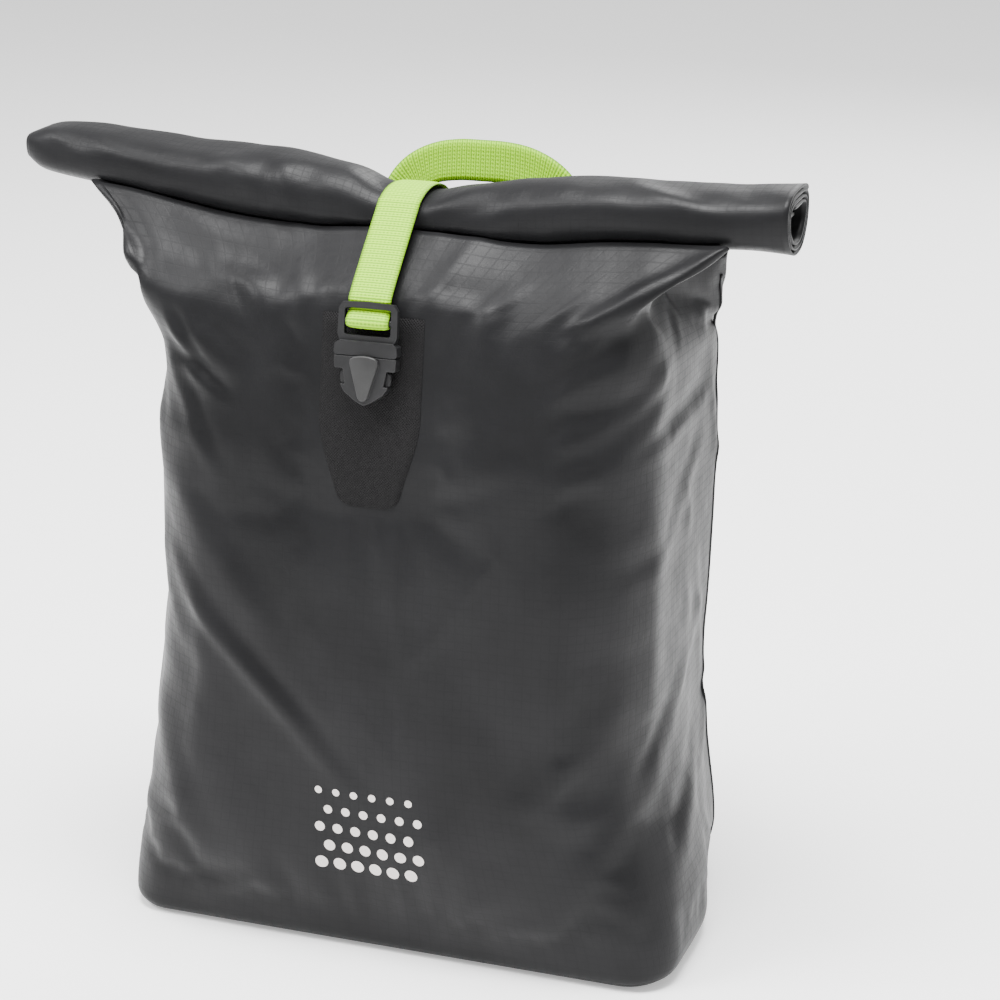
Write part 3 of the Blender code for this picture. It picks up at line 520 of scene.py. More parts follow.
class Nodes:
    """Short helper that adds and links shader nodes."""

    def __init__(self, name):
        self.material = bpy.data.materials.new(name)
        self.material.use_nodes = True
        self.tree = self.material.node_tree
        self.shader = self.tree.nodes["Principled BSDF"]

    def add(self, kind, **values):
        node = self.tree.nodes.new("ShaderNode" + kind)
        for key, value in values.items():
            if hasattr(node, key):
                setattr(node, key, value)
            else:
                socket = next(s for s in node.inputs if s.name.replace(" ", "_").lower() == key.lower())
                if isinstance(value, bpy.types.NodeSocket):
                    self.tree.links.new(value, socket)
                else:
                    socket.default_value = value
        return node

    def math(self, operation, a, b=None):
        node = self.tree.nodes.new("ShaderNodeMath")
        node.operation = operation
        for socket, value in zip(node.inputs, (a, b)):
            if isinstance(value, bpy.types.NodeSocket):
                self.tree.links.new(value, socket)
            elif value is not None:
                socket.default_value = value
        return node.outputs[0]

    def noise(self, vector, scale, detail=3.0, roughness=0.5):
        node = self.add("TexNoise", Scale=scale, Detail=detail, Roughness=roughness)
        self.tree.links.new(vector, node.inputs["Vector"])
        return node.outputs["Fac"]

    def ramp(self, value, low, high, dark, light):
        node = self.tree.nodes.new("ShaderNodeMapRange")
        self.tree.links.new(value, node.inputs["Value"])
        for key, number in zip(("From Min", "From Max", "To Min", "To Max"), (low, high, dark, light)):
            node.inputs[key].default_value = number
        return node.outputs["Result"]

    def colours(self, factor, a, b):
        node = self.tree.nodes.new("ShaderNodeMix")
        node.data_type = "RGBA"
        self.tree.links.new(factor, node.inputs["Factor"])
        inputs = [s for s in node.inputs if s.type == "RGBA"]
        for socket, colour in zip(inputs, (a, b)):
            if isinstance(colour, bpy.types.NodeSocket):
                self.tree.links.new(colour, socket)
            else:
                socket.default_value = (*colour, 1)
        return next(s for s in node.outputs if s.type == "RGBA")

    def bump(self, height, distance, strength=1.0, after=None):
        node = self.tree.nodes.new("ShaderNodeBump")
        node.inputs["Distance"].default_value = distance
        node.inputs["Strength"].default_value = strength
        self.tree.links.new(height, node.inputs["Height"])
        if after:
            self.tree.links.new(after, node.inputs["Normal"])
        return node.outputs["Normal"]

    def set(self, **values):
        for key, value in values.items():
            socket = self.shader.inputs[key.replace("_", " ")]
            if isinstance(value, bpy.types.NodeSocket):
                self.tree.links.new(value, socket)
            elif isinstance(value, tuple):
                socket.default_value = (*value, 1)
            else:
                socket.default_value = value
        return self.material

    def uv(self):
        node = self.tree.nodes.new("ShaderNodeTexCoord")
        split = self.tree.nodes.new("ShaderNodeSeparateXYZ")
        self.tree.links.new(node.outputs["UV"], split.inputs[0])
        return node.outputs["UV"], split.outputs[0], split.outputs[1]

    def place(self):
        return self.tree.nodes.new("ShaderNodeTexCoord").outputs["Object"]

    def waves(self, coordinate, pitch):
        """0 to 1 and back once in each pitch."""
        turned = self.math("MULTIPLY", coordinate, 2 * math.pi / pitch)
        return self.math("ADD", self.math("MULTIPLY", self.math("SINE", turned), 0.5), 0.5)


def coated_fabric():
    n = Nodes("coated_fabric")
    _, u, v = n.uv()
    cell = 5 * MM
    lines = n.math("MAXIMUM", n.math("POWER", n.waves(u, cell), 24.0), n.math("POWER", n.waves(v, cell), 24.0))
    grain = n.noise(n.place(), 2400.0, 2.0)
    cloud = n.noise(n.place(), 14.0, 5.0)
    scuff = n.noise(n.place(), 60.0, 6.0, 0.65)
    tone = n.ramp(cloud, 0.3, 0.7, 0.0, 1.0)
    colour = n.colours(tone, (0.0055, 0.0055, 0.006), (0.0105, 0.0105, 0.0113))
    colour = n.colours(n.math("MULTIPLY", lines, 0.14), colour, (0.004, 0.004, 0.0045))
    rough = n.math("ADD", n.ramp(scuff, 0.3, 0.7, 0.37, 0.47), n.math("MULTIPLY", lines, 0.08))
    fine = n.bump(n.math("ADD", grain, n.math("MULTIPLY", lines, -0.7)), 0.00006, 0.5)
    soft = n.bump(n.noise(n.place(), 90.0, 4.0, 0.55), 0.0009, 0.35, fine)
    return n.set(
        Base_Color=colour, Roughness=rough, Normal=soft, Specular_IOR_Level=0.13,
        Sheen_Weight=0.01, Sheen_Roughness=0.4
    )


def patch_fabric():
    n = Nodes("patch_fabric")
    _, u, v = n.uv()
    pitch = 1.7 * MM
    first = n.waves(n.math("ADD", u, v), pitch)
    second = n.waves(n.math("SUBTRACT", u, v), pitch)
    weave = n.math("MAXIMUM", first, second)
    # Colour is darker where the weave sinks, the same dips the bump makes: painted shade in the weave's grooves.
    colour = n.colours(weave, (0.002, 0.002, 0.002), (0.0085, 0.008, 0.0085))
    rough = n.ramp(n.noise(n.place(), 300.0), 0.3, 0.7, 0.55, 0.75)
    return n.set(Base_Color=colour, Roughness=rough, Normal=n.bump(weave, 0.0003, 0.9), Specular_IOR_Level=0.12)


def webbing(name, light, dark):
    """Ribbed strap: U runs across it from 0 to 1, V along it in metres."""
    n = Nodes(name)
    _, u, v = n.uv()
    rows = n.waves(v, 1.55 * MM)
    strands = n.waves(u, 1 / 11)
    shift = n.waves(v, 3.1 * MM)
    weave = n.math("ADD", n.math("MULTIPLY", rows, 0.7), n.math("MULTIPLY", n.math("MULTIPLY", strands, shift), 0.5))
    edge = n.math("POWER", n.math("ABSOLUTE", n.math("MULTIPLY", n.math("SUBTRACT", u, 0.5), 2.0)), 14.0)
    # Colour follows the weave: darker where the weave sinks, the same dips the bump makes; painted shade in the
    # grooves between the ribs.
    colour = n.colours(n.ramp(weave, 0.1, 0.7, 1.0, 0.0), light, dark)
    # Both edges are darkened further: painted shade on the strap's rounded edges.
    colour = n.colours(n.math("MULTIPLY", edge, 0.85), colour, tuple(c * 0.45 for c in dark))
    fibre = n.noise(n.place(), 2500.0, 2.0)
    height = n.math("ADD", weave, n.math("MULTIPLY", fibre, 0.35))
    return n.set(
        Base_Color=colour,
        Roughness=n.ramp(fibre, 0.3, 0.7, 0.5, 0.7),
        Normal=n.bump(height, 0.00028, 0.9),
        Specular_IOR_Level=0.2,
        Sheen_Weight=0.04,
        Sheen_Roughness=0.45,
    )


def plastic(name, colour, rough, texture=900.0, depth=0.00004):
    n = Nodes(name)
    grain = n.noise(n.place(), texture, 3.0)
    wear = n.noise(n.place(), 70.0, 5.0, 0.65)
    shade = n.colours(n.ramp(wear, 0.35, 0.75, 0.0, 1.0), colour, tuple(min(1, c * 1.5) for c in colour))
    return n.set(
        Base_Color=shade,
        Roughness=n.ramp(wear, 0.3, 0.7, rough - 0.07, rough + 0.09),
        Normal=n.bump(grain, depth, 0.6),
        Specular_IOR_Level=0.32,
    )


def metal(name, colour, rough, brushed=(1.0, 60.0, 60.0)):
    n = Nodes(name)
    mapping = n.add("Mapping")
    n.tree.links.new(n.place(), mapping.inputs["Vector"])
    mapping.inputs["Scale"].default_value = brushed
    streak = n.noise(mapping.outputs[0], 40.0, 4.0, 0.6)
    shade = n.colours(n.ramp(streak, 0.3, 0.7, 0.0, 1.0), tuple(c * 0.82 for c in colour), colour)
    return n.set(
        Base_Color=shade,
        Metallic=1.0,
        Roughness=n.ramp(streak, 0.3, 0.7, rough - 0.06, rough + 0.1),
        Normal=n.bump(streak, 0.00003, 0.4),
    )


def thread(name, colour):
    n = Nodes(name)
    twist = n.noise(n.place(), 1800.0, 2.0)
    shade = n.colours(twist, tuple(c * 0.7 for c in colour), colour)
    return n.set(Base_Color=shade, Roughness=0.75, Normal=n.bump(twist, 0.0001, 0.6), Sheen_Weight=0.2)


def reflective():
    n = Nodes("reflective_film")
    beads = n.noise(n.place(), 3000.0, 2.0)
    shade = n.colours(n.ramp(beads, 0.3, 0.7, 0.0, 1.0), (0.52, 0.48, 0.46), (0.72, 0.68, 0.65))
    return n.set(Base_Color=shade, Roughness=0.42, Metallic=0.25, Normal=n.bump(beads, 0.00003, 0.5))


# The webbing's lime and a shaded copy of it: the darker one is painted shade for the grooves and edges of the strap.
LIME, LIME_SHADED = (0.36, 0.72, 0.001), (0.15, 0.38, 0.0)
LOOKS = {
    "fabric": coated_fabric(),
    "patch": patch_fabric(),
    "webbing": webbing("lime_webbing", LIME, LIME_SHADED),
    "buckle": plastic("buckle_plastic", (0.009, 0.009, 0.0095), 0.42),
    "tongue": plastic("buckle_tongue", (0.022, 0.022, 0.022), 0.5),
    "hook": plastic("hook_plastic", (0.012, 0.012, 0.0125), 0.45),
    "liner": plastic("hook_liner", (0.16, 0.16, 0.165), 0.55),
    "board": plastic("board_plastic", (0.2, 0.2, 0.2), 0.5),
    "rail": metal("rail_aluminium", (0.09, 0.09, 0.095), 0.38),
    "steel": metal("steel", (0.22, 0.22, 0.23), 0.4, (20.0, 20.0, 20.0)),
    "thread": thread("lime_thread", (0.5, 0.72, 0.1)),
    "reflective": reflective(),
}


def finish_piece(obj, look, body="bag", replaces=()):
    obj.data.materials.clear()
    obj.data.materials.append(LOOKS[look])
    if replaces:
        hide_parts(*replaces)
    if body:
        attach(obj, body)
    return obj


# Ribbons and cords


def resample(path, step):
    """Points at an even spacing along a smooth curve through the path's points."""
    path = [Vector(p) for p in path]
    fine = []
    for i in range(len(path) - 1):
        p0, p1, p2, p3 = (path[max(i - 1, 0)], path[i], path[i + 1], path[min(i + 2, len(path) - 1)])
        for k in range(8):
            t = k / 8
            fine.append(
                0.5 * ((2 * p1) + (p2 - p0) * t + (2 * p0 - 5 * p1 + 4 * p2 - p3) * t * t
                       + (3 * p1 - p0 - 3 * p2 + p3) * t**3)
            )
    fine.append(path[-1])
    lengths = [0.0]
    for a, b in zip(fine, fine[1:]):
        lengths.append(lengths[-1] + (b - a).length)
    count = max(2, round(lengths[-1] / step))
    out = []
    j = 0
    for i in range(count + 1):
        goal = lengths[-1] * i / count
        while j < len(fine) - 2 and lengths[j + 1] < goal:
            j += 1
        share = (goal - lengths[j]) / max(lengths[j + 1] - lengths[j], 1e-9)
        out.append(fine[j].lerp(fine[j + 1], min(1.0, share)))
    return out, lengths[-1]


def ribbon(name, path, across, width=WEB_WIDTH, thickness=WEB_THICKNESS, step=2 * MM, crown=0.25 * MM):
    """A strap along a path. across(t) gives the direction of its width there."""
    points, length = resample(path, step)
    columns = 8
    verts, uvs, faces = [], [], []
    for i, p in enumerate(points):
        ahead = points[min(i + 1, len(points) - 1)] - points[max(i - 1, 0)]
        side = across(i / (len(points) - 1)).normalized()
        up = side.cross(ahead).normalized()
        ring = []
        for k in range(columns + 1):
            s = k / columns * 2 - 1
            ring.append((s, 0.5 * (1 - s**8 * 0.75) * thickness + crown * (1 - s * s)))
        for k in range(columns + 1):
            s, h = ring[k]
            verts.append(p + side * (s * width / 2) + up * h)
            uvs.append((k / columns, length * i / (len(points) - 1)))
        for k in range(columns, -1, -1):
            s, h = ring[k]
            verts.append(p + side * (s * width / 2) + up * (-h + 2 * crown * (1 - s * s)))
            uvs.append((k / columns, length * i / (len(points) - 1)))
    around = 2 * (columns + 1)
    for i in range(len(points) - 1):
        for k in range(around):
            n = (k + 1) % around
            faces.append((i * around + k, i * around + n, (i + 1) * around + n, (i + 1) * around + k))
    faces.append(tuple(range(around))[::-1])
    faces.append(tuple((len(points) - 1) * around + k for k in range(around)))
    return new_object(name, verts, faces, uvs)


def cord(name, path, radius, cyclic=False, sides=12, step=1.2 * MM):
    """A round bar or thread along a path."""
    points, _ = resample(path + [path[0]] if cyclic else path, step)
    if cyclic:
        points = points[:-1]
    count = len(points)
    verts, faces = [], []
    up = Vector((0.31, 0.17, 0.93))
    for i, p in enumerate(points):
        if cyclic:
            ahead = points[(i + 1) % count] - points[i - 1]
        else:
            ahead = points[min(i + 1, count - 1)] - points[max(i - 1, 0)]
        ahead.normalize()
        up = (up - ahead * up.dot(ahead)).normalized()
        side = ahead.cross(up)
        for k in range(sides):
            a = 2 * math.pi * k / sides
            verts.append(p + (up * math.cos(a) + side * math.sin(a)) * radius)
    rows = count if cyclic else count - 1
    for i in range(rows):
        j = (i + 1) % count
        for k in range(sides):
            n = (k + 1) % sides
            faces.append((i * sides + k, j * sides + k, j * sides + n, i * sides + n))
    if not cyclic:
        faces.append(tuple(range(sides)))
        faces.append(tuple((count - 1) * sides + k for k in range(sides))[::-1])
    obj = new_object(name, verts, faces)
    bm = bmesh.new()
    bm.from_mesh(obj.data)
    bmesh.ops.recalc_face_normals(bm, faces=bm.faces)
    bm.to_mesh(obj.data)
    bm.free()
    return obj


def join(name, objects):
    """One object from several, keeping their UVs."""
    target = objects[0]
    with bpy.context.temp_override(
        active_object=target, object=target, selected_objects=objects, selected_editable_objects=objects
    ):
        bpy.ops.object.join()
    target.name = name
    target.data.name = name
    return target


def on_slope(slope, x, up, out):
    """A point given by its distance up a slope and its height off it."""
    facing = 1 if slope is BACK_SLOPE else -1
    return slope @ Vector((x, facing * out, up))


def tangent_angle(point, centre, semi, side):
    y = (point[0] - centre[0]) / semi[0]
    z = (point[1] - centre[1]) / semi[1]
    return math.atan2(z, y) + side * math.acos(1 / math.hypot(y, z))


class Surface:
    """Where the bag's skin is, found with rays."""

    def __init__(self, obj):
        self.tree = BVHTree.FromObject(obj, bpy.context.evaluated_depsgraph_get())

    def front(self, x, z, off=0.0):
        spot, normal, _, _ = self.tree.ray_cast(Vector((x, -0.3, z)), Vector((0, 1, 0)))
        return spot + normal * off

    def back(self, x, up, off=0.0):
        """Above the highest skin near a place on the back slope."""
        inward = on_slope(BACK_SLOPE, 0, 0, -1) - on_slope(BACK_SLOPE, 0, 0, 0)
        reach = 80 * MM
        found = []
        for shift in (-6 * MM, 0, 6 * MM):
            spot, _, _, far = self.tree.ray_cast(on_slope(BACK_SLOPE, x + shift, up, reach), inward)
            found.append(reach - far if spot else 0.0)
        return on_slope(BACK_SLOPE, x, up, max(found) + off)

    def nearest(self, point, off=0.0):
        spot, normal, _, _ = self.tree.find_nearest(point)
        if normal.dot(point - spot) < 0 and (point - spot).length > 1e-6:
            normal = -normal
        return spot + normal * off


def settle(obj, frames=16, limit=5 * MM):
    """Lets the loose parts of the walls puff and pucker, then holds every point near its drawn place."""
    rest = np.array([v.co for v in obj.data.vertices])
    columns = 2 * (FRONT_CELLS + SIDE_CELLS) + 4 * CORNER_CELLS
    count = len(LEVELS) * columns
    walls = rest[:count]
    x, y, z = walls.T
    free = calm(walls) * smooth((z - 8 * MM) / (30 * MM))
    reach = np.where(y > 0, BACK_JOIN, np.array([ROLL_LOW(v) for v in x]))
    free *= 1 - smooth((z - reach + 30 * MM) / (26 * MM))
    faces = [f.vertices[:] for f in obj.data.polygons if max(f.vertices) < count]
    sheet = new_object("walls_in_motion", walls, faces)
    group = sheet.vertex_groups.new(name="held")
    for i, weight in enumerate(1 - free):
        group.add([i], float(weight), "REPLACE")
    cloth = sheet.modifiers.new("cloth", "CLOTH")
    how = cloth.settings
    how.quality = 4
    how.mass = 0.2
    how.tension_stiffness = how.compression_stiffness = 15
    how.shear_stiffness = 10
    how.bending_stiffness = 2.5
    how.tension_damping = how.compression_damping = how.shear_damping = 10
    how.air_damping = 2
    how.vertex_group_mass = "held"
    how.pin_stiffness = 1
    how.shrink_min = -0.016
    how.use_pressure = True
    how.uniform_pressure_force = 4
    how.effector_weights.gravity = 0
    cloth.collision_settings.use_collision = False
    cloth.point_cache.frame_start, cloth.point_cache.frame_end = 1, frames
    scene = bpy.context.scene
    for number in range(1, frames + 1):
        scene.frame_set(number)
    moved = sheet.evaluated_get(bpy.context.evaluated_depsgraph_get()).to_mesh()
    step = np.array([v.co for v in moved.vertices]) - walls
    bpy.data.objects.remove(sheet, do_unlink=True)
    scene.frame_set(1)
    size = np.linalg.norm(step, axis=1, keepdims=True)
    step *= limit * np.tanh(size / limit) / np.maximum(size, 1e-9)
    rest[:count] += step * free[:, None]
    obj.data.vertices.foreach_set("co", rest.astype(np.float32).ravel())
    obj.data.update()


shell = build_shell()
settle(shell)
RIGHT_EDGE = 2 * (FRONT_CELLS + SIDE_CELLS) + 4 * CORNER_CELLS - CORNER_CELLS // 2
LEFT_EDGE = CORNER_CELLS // 2 + FRONT_CELLS + CORNER_CELLS
AROUND = RIGHT_EDGE + CORNER_CELLS // 2
EDGES = {
    word: [shell.data.vertices[j * AROUND + i].co.copy() for j in range(8, len(LEVELS) - 4)]
    for word, i in (("left", LEFT_EDGE), ("right", RIGHT_EDGE))
}
subdivide(shell)
thicken(shell, 1.1 * MM)
finish_piece(shell, "fabric", "bag", ("main_panel", "back_panel", "base_panel", "roll_top"))
skin = Surface(shell)


def build_front_patch():
    """Coarse patch welded to the front behind the buckle."""
    low, high = 276 * MM, 383 * MM
    columns, rows = 24, 44
    verts, uvs, faces = [], [], []

    def half_width(t):
        z = t * (high - low)
        side = 18 * MM + 12 * MM * smooth(z / (52 * MM)) ** 0.8
        lower = 8 * MM
        if z < lower:
            side -= lower - math.sqrt(lower**2 - (lower - z) ** 2)
        return side

    for j in range(rows + 1):
        t = j / rows
        t = t * t * 0.35 + t * 0.65
        for i in range(columns + 1):
            s = i / columns * 2 - 1
            x, z = s * half_width(t), mix(low, high, t)
            to_side = (1 - abs(s)) * half_width(t)
            to_end = min(t, 1 - t) * (high - low) + 0.1 * MM
            edge = min(1.0, min(to_side, to_end) / (1.2 * MM))
            verts.append(skin.front(x, z, 0.25 * MM + 1.0 * MM * edge**0.5))
            uvs.append((x, z))
    for j in range(rows):
        for i in range(columns):
            a = j * (columns + 1) + i
            faces.append((a, a + 1, a + columns + 2, a + columns + 1))
    patch = new_object("front_patch_skin", verts, faces, uvs)
    finish_piece(patch, "patch", "bag", ("front_patch",))


def build_back_patch():
    """Smooth patch under the sewn end of the closure strap."""
    columns, rows, radius = 24, 18, 8 * MM
    half, low, high = 30 * MM, 84 * MM, 126 * MM
    verts, uvs, faces = [], [], []
    for j in range(rows + 1):
        up = mix(low, high, j / rows)
        room = min(up - low, high - up)
        side = half - (radius - math.sqrt(radius**2 - (radius - room) ** 2) if room < radius else 0)
        for i in range(columns + 1):
            s = i / columns * 2 - 1
            edge = min(1.0, min((1 - abs(s)) * side, room) / (1.2 * MM))
            verts.append(skin.back(s * side, up, 0.2 * MM + 0.8 * MM * edge**0.5))
            uvs.append((s * side, up))
    for j in range(rows):
        for i in range(columns):
            a = j * (columns + 1) + i
            faces.append((a, a + columns + 1, a + columns + 2, a + 1))
    patch = new_object("strap_patch_skin", verts, faces, uvs)
    finish_piece(patch, "buckle", "bag", ("strap_patch",))


def build_strap():
    """Closure strap from its sewn end over the roll to the buckle's ladder bar."""
    centre = (ROLL_Y(0), (ROLL_TOP(0) + ROLL_LOW(0)) / 2)
    semi = (ROLL_DEPTH(0) + 1.8 * MM, (ROLL_TOP(0) - ROLL_LOW(0)) / 2 + 1.8 * MM)
    path = [skin.back(0, up, 2.1 * MM) for up in (92 * MM, 98 * MM, 104 * MM, 110 * MM, 116 * MM, 122 * MM)]
    arrive = on_slope(BUCKLE_FRAME, 0, 62 * MM, 4.4 * MM)
    start = tangent_angle((path[-1].y, path[-1].z), centre, semi, 1)
    leave = tangent_angle((arrive.y, arrive.z), centre, semi, -1) % (2 * math.pi)
    for i in range(13):
        a = mix(start, leave, i / 12)
        path.append(Vector((0, centre[0] + semi[0] * math.cos(a), centre[1] + semi[1] * math.sin(a))))
    path.append(arrive)
    path.append(on_slope(BUCKLE_FRAME, 0, 55 * MM, 3.8 * MM))
    for degrees in (35, 80, 125, 170, 215, 260):
        a = math.radians(degrees)
        path.append(
            on_slope(BUCKLE_FRAME, 0, LADDER_BAR[0] + 2.9 * MM * math.cos(a), LADDER_BAR[1] + 2.9 * MM * math.sin(a))
        )
    strap = ribbon("closure_strap_web", path, lambda t: Vector((-1, 0, 0)), step=1.6 * MM)
    finish_piece(strap, "webbing", None, ("closure_strap",))
    top = (0, ROLL_Y(0) - ROLL_DEPTH(0), centre[1])
    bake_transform(strap)


def build_handle():
    """Grab handle of the same webbing: two sewn feet and an arch behind the roll."""
    path, widths = [], []
    half = [
        (64.5, 94.6, 319), (64.5, 94.8, 330), (64.5, 95.9, 340), (64, 96.5, 352), (62, 97.5, 376),
        (58, 98.5, 398), (52, 99, 413), (43, 99, 424.5), (31, 99, 431.5), (16, 98.5, 434.5), (0, 98, 435),
    ]
    left = [Vector((-p[0], p[1], p[2])) * MM for p in half]
    right = [Vector((p[0], p[1], p[2])) * MM for p in reversed(half[:-1])]
    path = left + right

    def across(t):
        """Level across the feet; the strap turns edge-up where it bends into the arch."""
        s = abs(t * 2 - 1)
        turn = 1 - smooth((s - 0.16) / 0.36)
        side = 1 if t < 0.5 else -1
        up = Vector((side * -1.0, 0, 0)).lerp(Vector((0, 0.12, 1.0)), float(turn))
        return up.normalized()

    web = ribbon("carry_handle_web", path, across, step=2.2 * MM)
    finish_piece(web, "webbing", None, ("carry_handle", "handle_anchor_left", "handle_anchor_right"))
    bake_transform(web)


def build_d_rings():
    bar_up, bar_out = D_RING_BAR
    for word, side in SIDES:
        centre = side * D_RING_X
        corner, top = 15.8 * MM, 24 * MM
        loop = []
        for i in range(17):
            a = math.pi * i / 16
            loop.append((corner * math.cos(a), bar_up + 3 * MM + (top - 3 * MM) * math.sin(a)))
        loop += [
            (-15.2 * MM, bar_up + 0.8 * MM), (-13 * MM, bar_up), (0, bar_up), (13 * MM, bar_up),
            (15.2 * MM, bar_up + 0.8 * MM),
        ]
        path = [on_slope(BACK_SLOPE, centre + x, up, bar_out) for x, up in loop]
        ring = cord("d_ring_bar_" + word, path, D_RING_WIRE, True, 16)
        finish_piece(ring, "buckle", "d_ring_" + word, ("d_ring_" + word,))
        wrap = D_RING_WIRE + WEB_THICKNESS / 2 + 0.2 * MM
        tab = [on_slope(BACK_SLOPE, centre, up, 1.3 * MM) for up in (12 * MM, 24 * MM, 38 * MM)]
        for degrees in (200, 160, 120, 80, 40, 0, -30):
            a = math.radians(degrees)
            tab.append(on_slope(BACK_SLOPE, centre, bar_up + wrap * math.sin(a), bar_out + wrap * math.cos(a)))
        tab += [on_slope(BACK_SLOPE, centre, up, 3.6 * MM) for up in (36 * MM, 30 * MM, 22 * MM, 12 * MM)]
        web = ribbon("d_ring_web_" + word, tab, lambda t: Vector((-1, 0, 0)), step=1.6 * MM)
        finish_piece(web, "webbing", "bag", ("d_ring_tab_" + word,))


def stitch_run(name, points, length=2.6 * MM, gap=1.2 * MM, radius=0.28 * MM):
    """A row of raised stitches along points that lie on a surface."""
    pieces = []
    line, total = resample(points, 0.4 * MM)
    per = total / (len(line) - 1)
    stride = max(2, round((length + gap) / per))
    take = max(2, round(length / per))
    for i in range(0, len(line) - take, stride):
        pieces.append(cord(name + "_part", [line[i], line[i + take // 2], line[i + take]], radius, False, 6, 0.7 * MM))
    return pieces


def build_stitches():
    runs = []
    for up in (93.5 * MM, 109 * MM):
        row = [skin.back(0, up, 3.2 * MM) + Vector((x, 0, 0)) for x in np.linspace(-11 * MM, 11 * MM, 8)]
        runs += stitch_run("strap_stitch", row)
    for x in (-11 * MM, 11 * MM):
        row = [skin.back(0, u, 3.1 * MM) + Vector((x, 0, 0)) for u in np.linspace(94 * MM, 108.5 * MM, 6)]
        runs += stitch_run("strap_stitch", row)
    for word, side in SIDES:
        cx = side * D_RING_X
        for up in (14 * MM, 18 * MM, 28 * MM):
            row = [on_slope(BACK_SLOPE, cx + x, up, 4.85 * MM) for x in np.linspace(-11 * MM, 11 * MM, 8)]
            runs += stitch_run("tab_stitch", row)
        fx = side * HANDLE_FOOT_X
        for z in (321.5 * MM, 333 * MM):
            row = [Vector((fx + x, BACK_FACE + 3.05 * MM, z)) for x in np.linspace(-10.5 * MM, 10.5 * MM, 8)]
            runs += stitch_run("foot_stitch", row)
        for a, b in (((-10.5, 322), (10.5, 332.5)), ((-10.5, 332.5), (10.5, 322))):
            ends = [
                Vector((fx + mix(a[0], b[0], t) * MM, BACK_FACE + 3.1 * MM, mix(a[1], b[1], t) * MM))
                for t in (0, 0.5, 1)
            ]
            runs += stitch_run("foot_stitch", ends)
    stitches = join("webbing_stitches", runs)
    finish_piece(stitches, "thread", "bag")


def build_print():
    """Plain reflective dots, low on the front."""
    verts, faces = [], []
    columns, rows, pitch = 6, 5, 11.2 * MM
    for j in range(rows):
        for i in range(columns):
            shift = 0.25 if j % 2 else -0.25
            x = (i - (columns - 1) / 2 + shift) * pitch + 2 * MM
            z = 58 * MM + j * pitch * 1.05
            size = mix(3.9, 2.3, j / (rows - 1)) * MM
            start = len(verts)
            verts.append(skin.front(x, z, 0.12 * MM))
            for share in (0.5, 1.0):
                for k in range(20):
                    a = 2 * math.pi * k / 20
                    reach = size * share
                    verts.append(skin.front(x + reach * math.cos(a), z + reach * math.sin(a), 0.12 * MM))
            for k in range(20):
                n = (k + 1) % 20
                faces.append((start, start + 1 + k, start + 1 + n))
                faces.append((start + 1 + k, start + 21 + k, start + 21 + n, start + 1 + n))
    dots = new_object("reflective_dots", verts, faces)
    finish_piece(dots, "reflective", "bag")


def pad(name, outline, low, high, rounding, frame_of):
    """A moulded boss with a round top edge: an outline in X and up a slope, between two heights off it."""
    count = len(outline)
    points = [Vector(p) * MM for p in outline]
    inward = []
    for i, p in enumerate(points):
        a, b = p - points[i - 1], points[(i + 1) % count] - p
        inward.append(Vector((-(a.y + b.y), a.x + b.x)).normalized())
    verts, faces = [], []
    rings = [(low, 0.0)] + [
        (high - rounding * (1 - math.sin(a)), rounding * (1 - math.cos(a)))
        for a in [math.pi / 2 * k / 4 for k in range(5)]
    ]
    for out, inset in rings:
        for p, n in zip(points, inward):
            q = p + n * inset
            verts.append(on_slope(frame_of, q.x, q.y, out))
    for j in range(len(rings) - 1):
        for i in range(count):
            n = (i + 1) % count
            faces.append((j * count + i, j * count + n, (j + 1) * count + n, (j + 1) * count + i))
    faces.append(tuple((len(rings) - 1) * count + i for i in range(count)))
    faces.append(tuple(range(count))[::-1])
    obj = new_object(name, verts, faces)
    bm = bmesh.new()
    bm.from_mesh(obj.data)
    bmesh.ops.recalc_face_normals(bm, faces=bm.faces)
    bm.to_mesh(obj.data)
    bm.free()
    return obj


def build_tongue():
    """Lighter raised face of the buckle's socket."""
    half = [
        (0, 2.6), (1.6, 3.0), (2.8, 4.4), (4.2, 9.0), (5.8, 14.5), (7.4, 20.0), (8.4, 23.4), (8.0, 25.6),
        (6.0, 27.0), (3.0, 27.6),
    ]
    shape = half + [(0, 27.8)] + [(-x, up) for x, up in half[:0:-1]]
    tongue = pad("buckle_tongue", shape, 9.8 * MM, 12.9 * MM, 0.8 * MM, BUCKLE_FRAME)
    finish_piece(tongue, "tongue", "bag")


def build_seams():
    """Welded edges where the sides meet the back panel."""
    for word, side in SIDES:
        path = [skin.nearest(p + Vector((side * 2 * MM, 0, 0)), 0.1 * MM) for p in EDGES[word][::2]]
        bead = cord("seam_weld_" + word, path, 0.9 * MM, False, 8, 3 * MM)
        finish_piece(bead, "fabric", "bag", ("seam_" + word,))


def build_stiffener():
    """Strip in the mouth's hem, in the core of the roll."""
    verts, faces = [], []
    columns = 60
    for i in range(columns + 1):
        x = mix(ROLL_LEFT + 8 * MM, ROLL_RIGHT - 6 * MM, i / columns)
        top, low = ROLL_TOP(x), ROLL_LOW(x)
        pitch = min(3 * MM, ((top - low) / 2 - 2.5 * MM) / ROLL_TURNS)
        half = max(5 * MM, ROLL_DEPTH(x) - pitch * ROLL_TURNS - 2.5 * MM)
        y, z = ROLL_Y(x), (top + low) / 2
        for dy, dz in ((-half, -0.7 * MM), (half, -0.7 * MM), (half, 0.7 * MM), (-half, 0.7 * MM)):
            verts.append((x, y + dy, z + dz))
    for i in range(columns):
        for k in range(4):
            n = (k + 1) % 4
            faces.append((i * 4 + k, i * 4 + n, i * 4 + 4 + n, i * 4 + 4 + k))
    faces.append((3, 2, 1, 0))
    faces.append(tuple(columns * 4 + k for k in range(4)))
    strip = new_object("mouth_strip", verts, faces)
    finish_piece(strip, "board", "bag", ("mouth_stiffener",))


build_front_patch()
build_back_patch()
build_strap()
build_handle()
build_d_rings()
build_stitches()
build_print()
build_tongue()
build_seams()
build_stiffener()

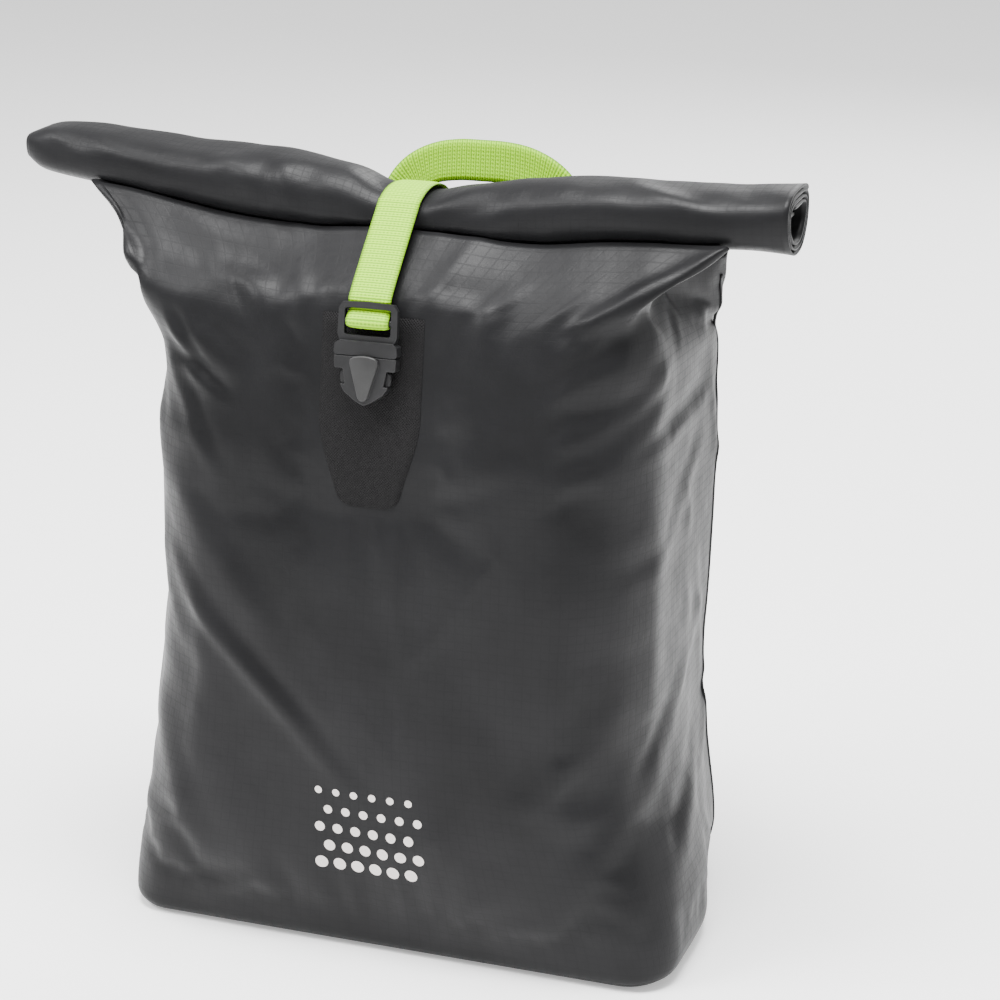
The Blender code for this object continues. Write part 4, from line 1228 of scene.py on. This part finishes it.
# CAD parts that show as they are, with rounded edges
CAD_LOOKS = {
    "buckle_female": "buckle", "buckle_male": "buckle", "buckle_prong_left": "buckle", "buckle_prong_right": "buckle",
    "buckle_tab": "patch", "stiffener_board": "board", "top_rail": "rail", "lower_rail": "rail",
    "anchor_slider": "hook", "anchor_hook": "hook", "anchor_knob": "hook",
    "rail_end_left": "hook", "rail_end_right": "hook",
    "backing_plate_left": "steel", "backing_plate_right": "steel", "lower_backing_plate": "steel",
    "lower_rail_screw_left": "steel", "lower_rail_screw_right": "steel",
}
for word, _ in SIDES:
    CAD_LOOKS["hook_body_" + word] = CAD_LOOKS["hook_latch_" + word] = "hook"
    CAD_LOOKS["hook_insert_" + word] = "liner"
    for part in ("latch_pin_" + word, "clamp_screw_" + word, f"rail_screw_{word}_lower", f"rail_screw_{word}_upper"):
        CAD_LOOKS[part] = "steel"
for name, look in CAD_LOOKS.items():
    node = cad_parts[name]
    node.data.materials.clear()
    node.data.materials.append(LOOKS[look])
    weld = node.modifiers.new("weld", "WELD")
    weld.merge_threshold = 0.01 * MM
    flat = node.modifiers.new("flat", "DECIMATE")
    flat.decimate_type = "DISSOLVE"
    flat.angle_limit = math.radians(1)
    edges = node.modifiers.new("edges", "BEVEL")
    edges.limit_method = "ANGLE"
    edges.angle_limit = math.radians(35)
    edges.width = 0.45 * MM
    edges.segments = 2
    edges.harden_normals = True


# Floor, light and camera


def build_stage():
    bm = bmesh.new()
    bmesh.ops.create_grid(bm, x_segments=1, y_segments=1, size=40)
    mesh = bpy.data.meshes.new("floor")
    bm.to_mesh(mesh)
    bm.free()
    floor = bpy.data.objects.new("floor", mesh)
    floor.location = (0, 0, -0.0005)
    bpy.context.scene.collection.objects.link(floor)
    n = Nodes("pale_floor")
    white = (0.95, 0.95, 0.95)
    mesh.materials.append(n.set(Base_Color=white, Roughness=0.9, Emission_Color=(1, 1, 1), Emission_Strength=0.32))
    world = bpy.data.worlds.new("studio")
    world.use_nodes = True
    background = world.node_tree.nodes["Background"]
    background.inputs["Color"].default_value = (1, 1, 1, 1)
    background.inputs["Strength"].default_value = 0.8
    bpy.context.scene.world = world
    lamps = (
        ("key", (-1.6, -1.1, 2.2), 0.9, 75),
        ("side", (2.1, 0.2, 0.8), 0.8, 12),
        ("top", (0.1, -0.3, 2.5), 1.2, 170),
        ("back", (0.3, 2.1, 1.5), 1.4, 40),
    )
    for name, spot, size, power in lamps:
        light = bpy.data.lights.new(name, "AREA")
        light.shape = "SQUARE"
        light.size = size
        light.energy = power
        lamp = bpy.data.objects.new(name, light)
        lamp.location = spot
        lamp.rotation_mode = "QUATERNION"
        lamp.rotation_quaternion = (Vector((0, 0, 0.22)) - Vector(spot)).to_track_quat("-Z", "Y")
        bpy.context.scene.collection.objects.link(lamp)


def build_camera():
    azimuth, elevation = math.radians(21), math.radians(20)
    level = math.cos(elevation)
    back = Vector((math.sin(azimuth) * level, -math.cos(azimuth) * level, math.sin(elevation)))
    right = Vector((math.cos(azimuth), math.sin(azimuth), 0))
    up = right.cross(-back)
    aim = -back + right * 0.0277 + up * 0.0215
    data = bpy.data.cameras.new("camera")
    data.lens, data.sensor_width = 93.6, 36
    camera = bpy.data.objects.new("camera", data)
    camera.location = Vector((0, 0, 0.215)) + back * 1.55
    camera.rotation_mode = "QUATERNION"
    camera.rotation_quaternion = aim.to_track_quat("-Z", "Y")
    bpy.context.scene.collection.objects.link(camera)
    bpy.context.scene.camera = camera


build_stage()
build_camera()
